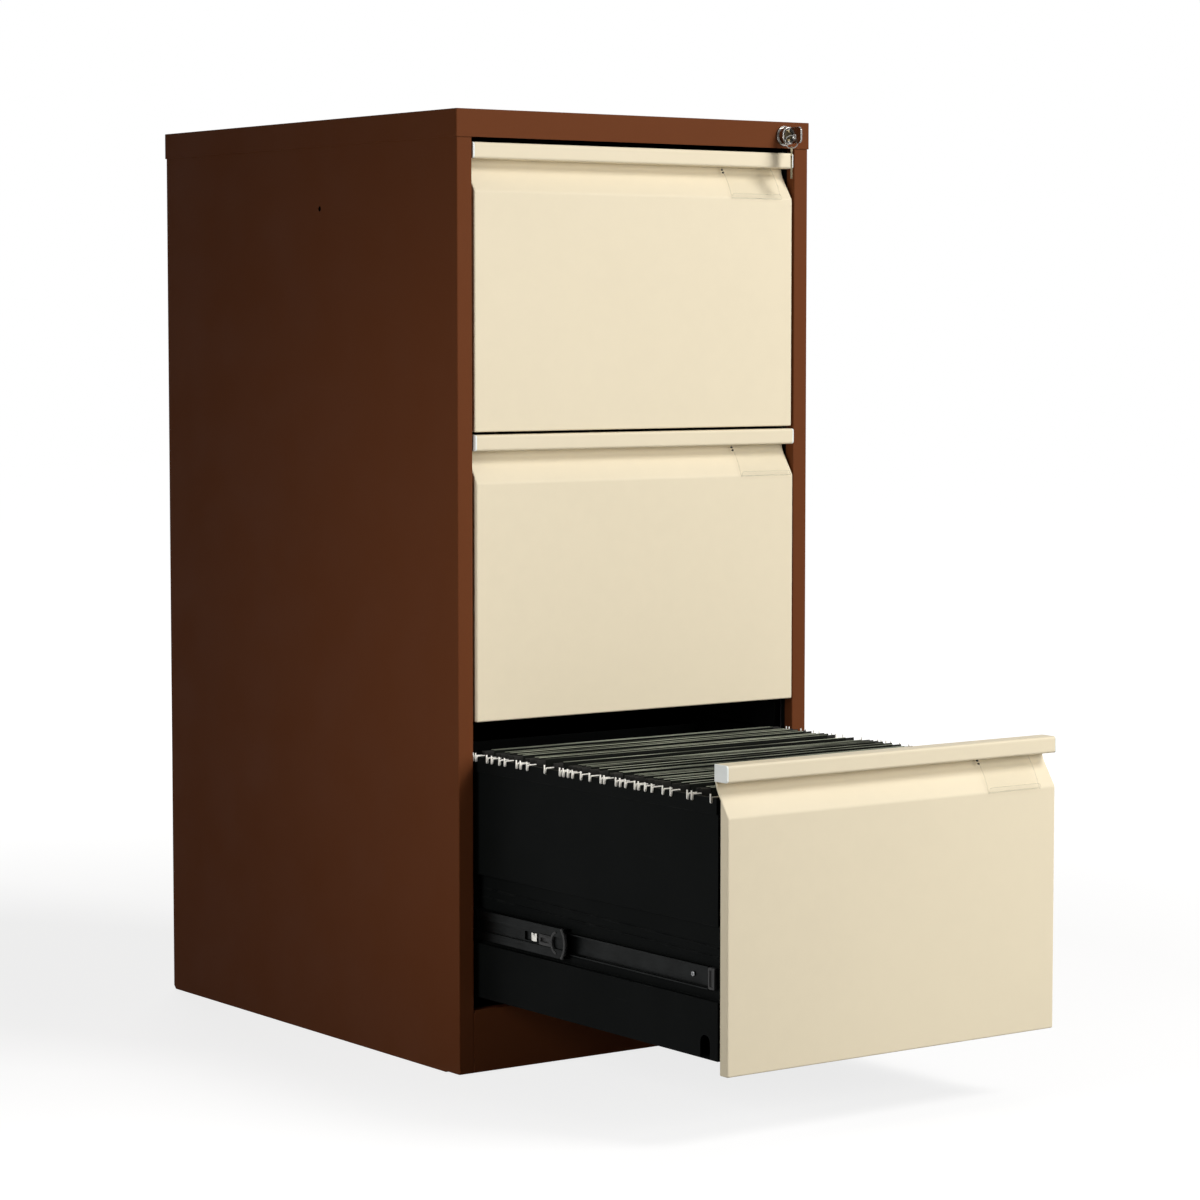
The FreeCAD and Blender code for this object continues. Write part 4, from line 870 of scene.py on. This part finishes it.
class CABINET_OT_slide_fittings(bpy.types.Operator):
    """Plastic stops, latches, spring clips, end blocks and rivets of the six slides"""
    bl_idname = "cabinet.slide_fittings"
    bl_label = "Slide fittings"

    def execute(self, context):
        size = sizes()
        low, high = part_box("slide_middle_bottom_left")
        inner_low, inner_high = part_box("slide_inner_bottom_left")
        stop = self.stop(size, low, high)
        clip = self.clip(size, low, high)
        end = self.end_block(size, inner_low, inner_high)
        rivet = self.rivet(size, inner_low, inner_high)
        for name in DRAWERS:
            shift = Vector(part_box("slide_middle_" + name + "_left")[0]) - Vector(low)
            inner_shift = Vector(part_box("slide_inner_" + name + "_left")[0]) - Vector(inner_low)
            for side in SIDES:
                mirror = side == "right"
                tail = name + "_" + side
                finished(copy_of(stop, "slide_stop_" + tail, shift, mirror), "slide_middle_" + name,
                         made("black_plastic"), "black_plastic", "slide_clips_" + name)
                finished(copy_of(clip, "slide_spring_" + tail, shift, mirror), "slide_middle_" + name,
                         made("nickel"), "chrome", "slide_clips_" + name)
                finished(copy_of(end, "slide_end_" + tail, inner_shift, mirror), "drawer_" + name,
                         made("black_plastic"), "black_plastic")
                finished(copy_of(rivet, "slide_rivet_" + tail, inner_shift, mirror), "drawer_" + name,
                         made("zinc"), "zinc")
        for piece in (stop, clip, end, rivet):
            bpy.data.objects.remove(piece)
        return {"FINISHED"}

    def stop(self, size, low, high):
        """Bow across the member's front end, a latch behind it and a block with a pocket."""
        front = low[1]
        axis = (low[2] + high[2]) / 2
        x = low[0] + size.stop_depth / 2 - size.stop_proud
        half = (high[2] - low[2]) / 2
        reach = math.degrees(math.asin(half / size.stop_radius))
        centre = (front + size.stop_radius - size.stop_ahead, axis)
        bow = ribbon("stop", [(x, y, z) for y, z in arc(centre, size.stop_radius, 180 - reach, 180 + reach, 10)],
                     size.stop_depth)
        thicken(bow, size.stop_wall)
        centre = (front + size.latch_behind, axis)
        latch = ribbon("latch", [(x, y, z) for y, z in arc(centre, size.latch_radius, 75, -75, 10)], size.stop_depth)
        thicken(latch, size.stop_wall)
        for piece in (bow, latch):
            clean(piece)
            round_edges(piece, size.bow_round)
        start = front + size.latch_behind + size.latch_radius
        body = block("latch_body", (x - size.stop_depth / 2, start, axis - size.latch_half),
                     (x + size.stop_depth / 2, start + size.latch_length, axis + size.latch_half),
                     size.block_round)
        edit(body, "FACE")
        choose(body, "faces", lambda f: f.normal.x < -0.99)
        bpy.ops.mesh.inset(thickness=size.latch_half * 0.45)
        bpy.ops.mesh.extrude_region_move(TRANSFORM_OT_translate={"value": (size.stop_depth * 0.6, 0, 0)})
        leave_edit()
        stop = joined(bow, latch, body)
        smooth(stop)
        return stop

    def clip(self, size, low, high):
        """Bright spring tongue in the member's slot, bent out at its end."""
        axis = (low[2] + high[2]) / 2
        x = low[0] + size.clip_sunk
        y = low[1] + size.clip_behind
        half = size.clip_height / 2
        clip = block("clip", (x, y, axis - half), (x + size.web, y + size.clip_length, axis + half), size.web * 0.25)
        edit(clip, "FACE")
        choose(clip, "faces", lambda f: f.normal.y < -0.99)
        bend = (size.web * 0.5, -size.clip_length * 0.2, 0)
        bpy.ops.mesh.extrude_region_move(TRANSFORM_OT_translate={"value": bend})
        leave_edit()
        smooth(clip)
        return clip

    def end_block(self, size, low, high):
        """Block at the front end of the inner member."""
        end = block("slide_end", (low[0] + size.end_inset, low[1] - size.end_length, low[2] + size.end_clearance),
                    (high[0] - size.end_inset, low[1], high[2] - size.end_clearance), size.block_round)
        edit(end, "FACE")
        choose(end, "faces", lambda f: f.normal.x < -0.99)
        bpy.ops.mesh.inset(thickness=size.end_rim)
        bpy.ops.mesh.extrude_region_move(TRANSFORM_OT_translate={"value": (size.end_pocket, 0, 0)})
        leave_edit()
        smooth(end)
        return end

    def rivet(self, size, low, high):
        """Domed rivet with a dimple, on the inner member's web."""
        place = (high[0] - size.web - size.rivet_height / 2, low[1] + size.rivet_behind, (low[2] + high[2]) / 2)
        rivet = new_piece("slide_rivet", "cylinder", vertices=24, radius=size.rivet_radius, depth=size.rivet_height,
                          location=place, rotation=(0, math.radians(90), 0))
        settle(rivet)
        round_edges(rivet, size.rivet_height * 0.45, 3)
        edit(rivet, "FACE")
        choose(rivet, "faces", lambda f: f.normal.x < -0.99)
        bpy.ops.mesh.inset(thickness=size.rivet_radius * 0.3)
        bpy.ops.mesh.extrude_region_move(TRANSFORM_OT_translate={"value": (size.rivet_height * 0.4, 0, 0)})
        leave_edit()
        smooth(rivet)
        return rivet


class CABINET_PT_panel(bpy.types.Panel):
    """Lists the sizes, the colours and the steps"""
    bl_idname = "CABINET_PT_panel"
    bl_label = "Filing cabinet"
    bl_space_type = "VIEW_3D"
    bl_region_type = "UI"
    bl_category = "Cabinet"

    def draw(self, context):
        layout = self.layout
        for group in (context.scene.cabinet_colours, context.scene.cabinet_sizes, context.scene.cabinet_stage):
            box = layout.box()
            for key in group.bl_rna.properties.keys():
                if key not in ("rna_type", "name"):
                    box.prop(group, key)
        for step in STEPS:
            layout.operator(step.bl_idname)


STEPS = (CABINET_OT_stage, CABINET_OT_finishes, CABINET_OT_file_bars, CABINET_OT_hanging_files,
         CABINET_OT_label_holders, CABINET_OT_slide_fittings)
GROUPS = ((CabinetColours, "cabinet_colours"), (CabinetSizes, "cabinet_sizes"), (CabinetStage, "cabinet_stage"))


def register():
    for group, name in GROUPS:
        bpy.utils.register_class(group)
        setattr(bpy.types.Scene, name, PointerProperty(type=group))
    for step in STEPS + (CABINET_PT_panel,):
        bpy.utils.register_class(step)


def unregister():
    for step in (CABINET_PT_panel,) + STEPS[::-1]:
        bpy.utils.unregister_class(step)
    for group, name in GROUPS[::-1]:
        delattr(bpy.types.Scene, name)
        bpy.utils.unregister_class(group)


def main():
    register()
    for step in STEPS:
        group, name = step.bl_idname.split(".")
        getattr(getattr(bpy.ops, group), name)()


if __name__ == "__main__":
    main()
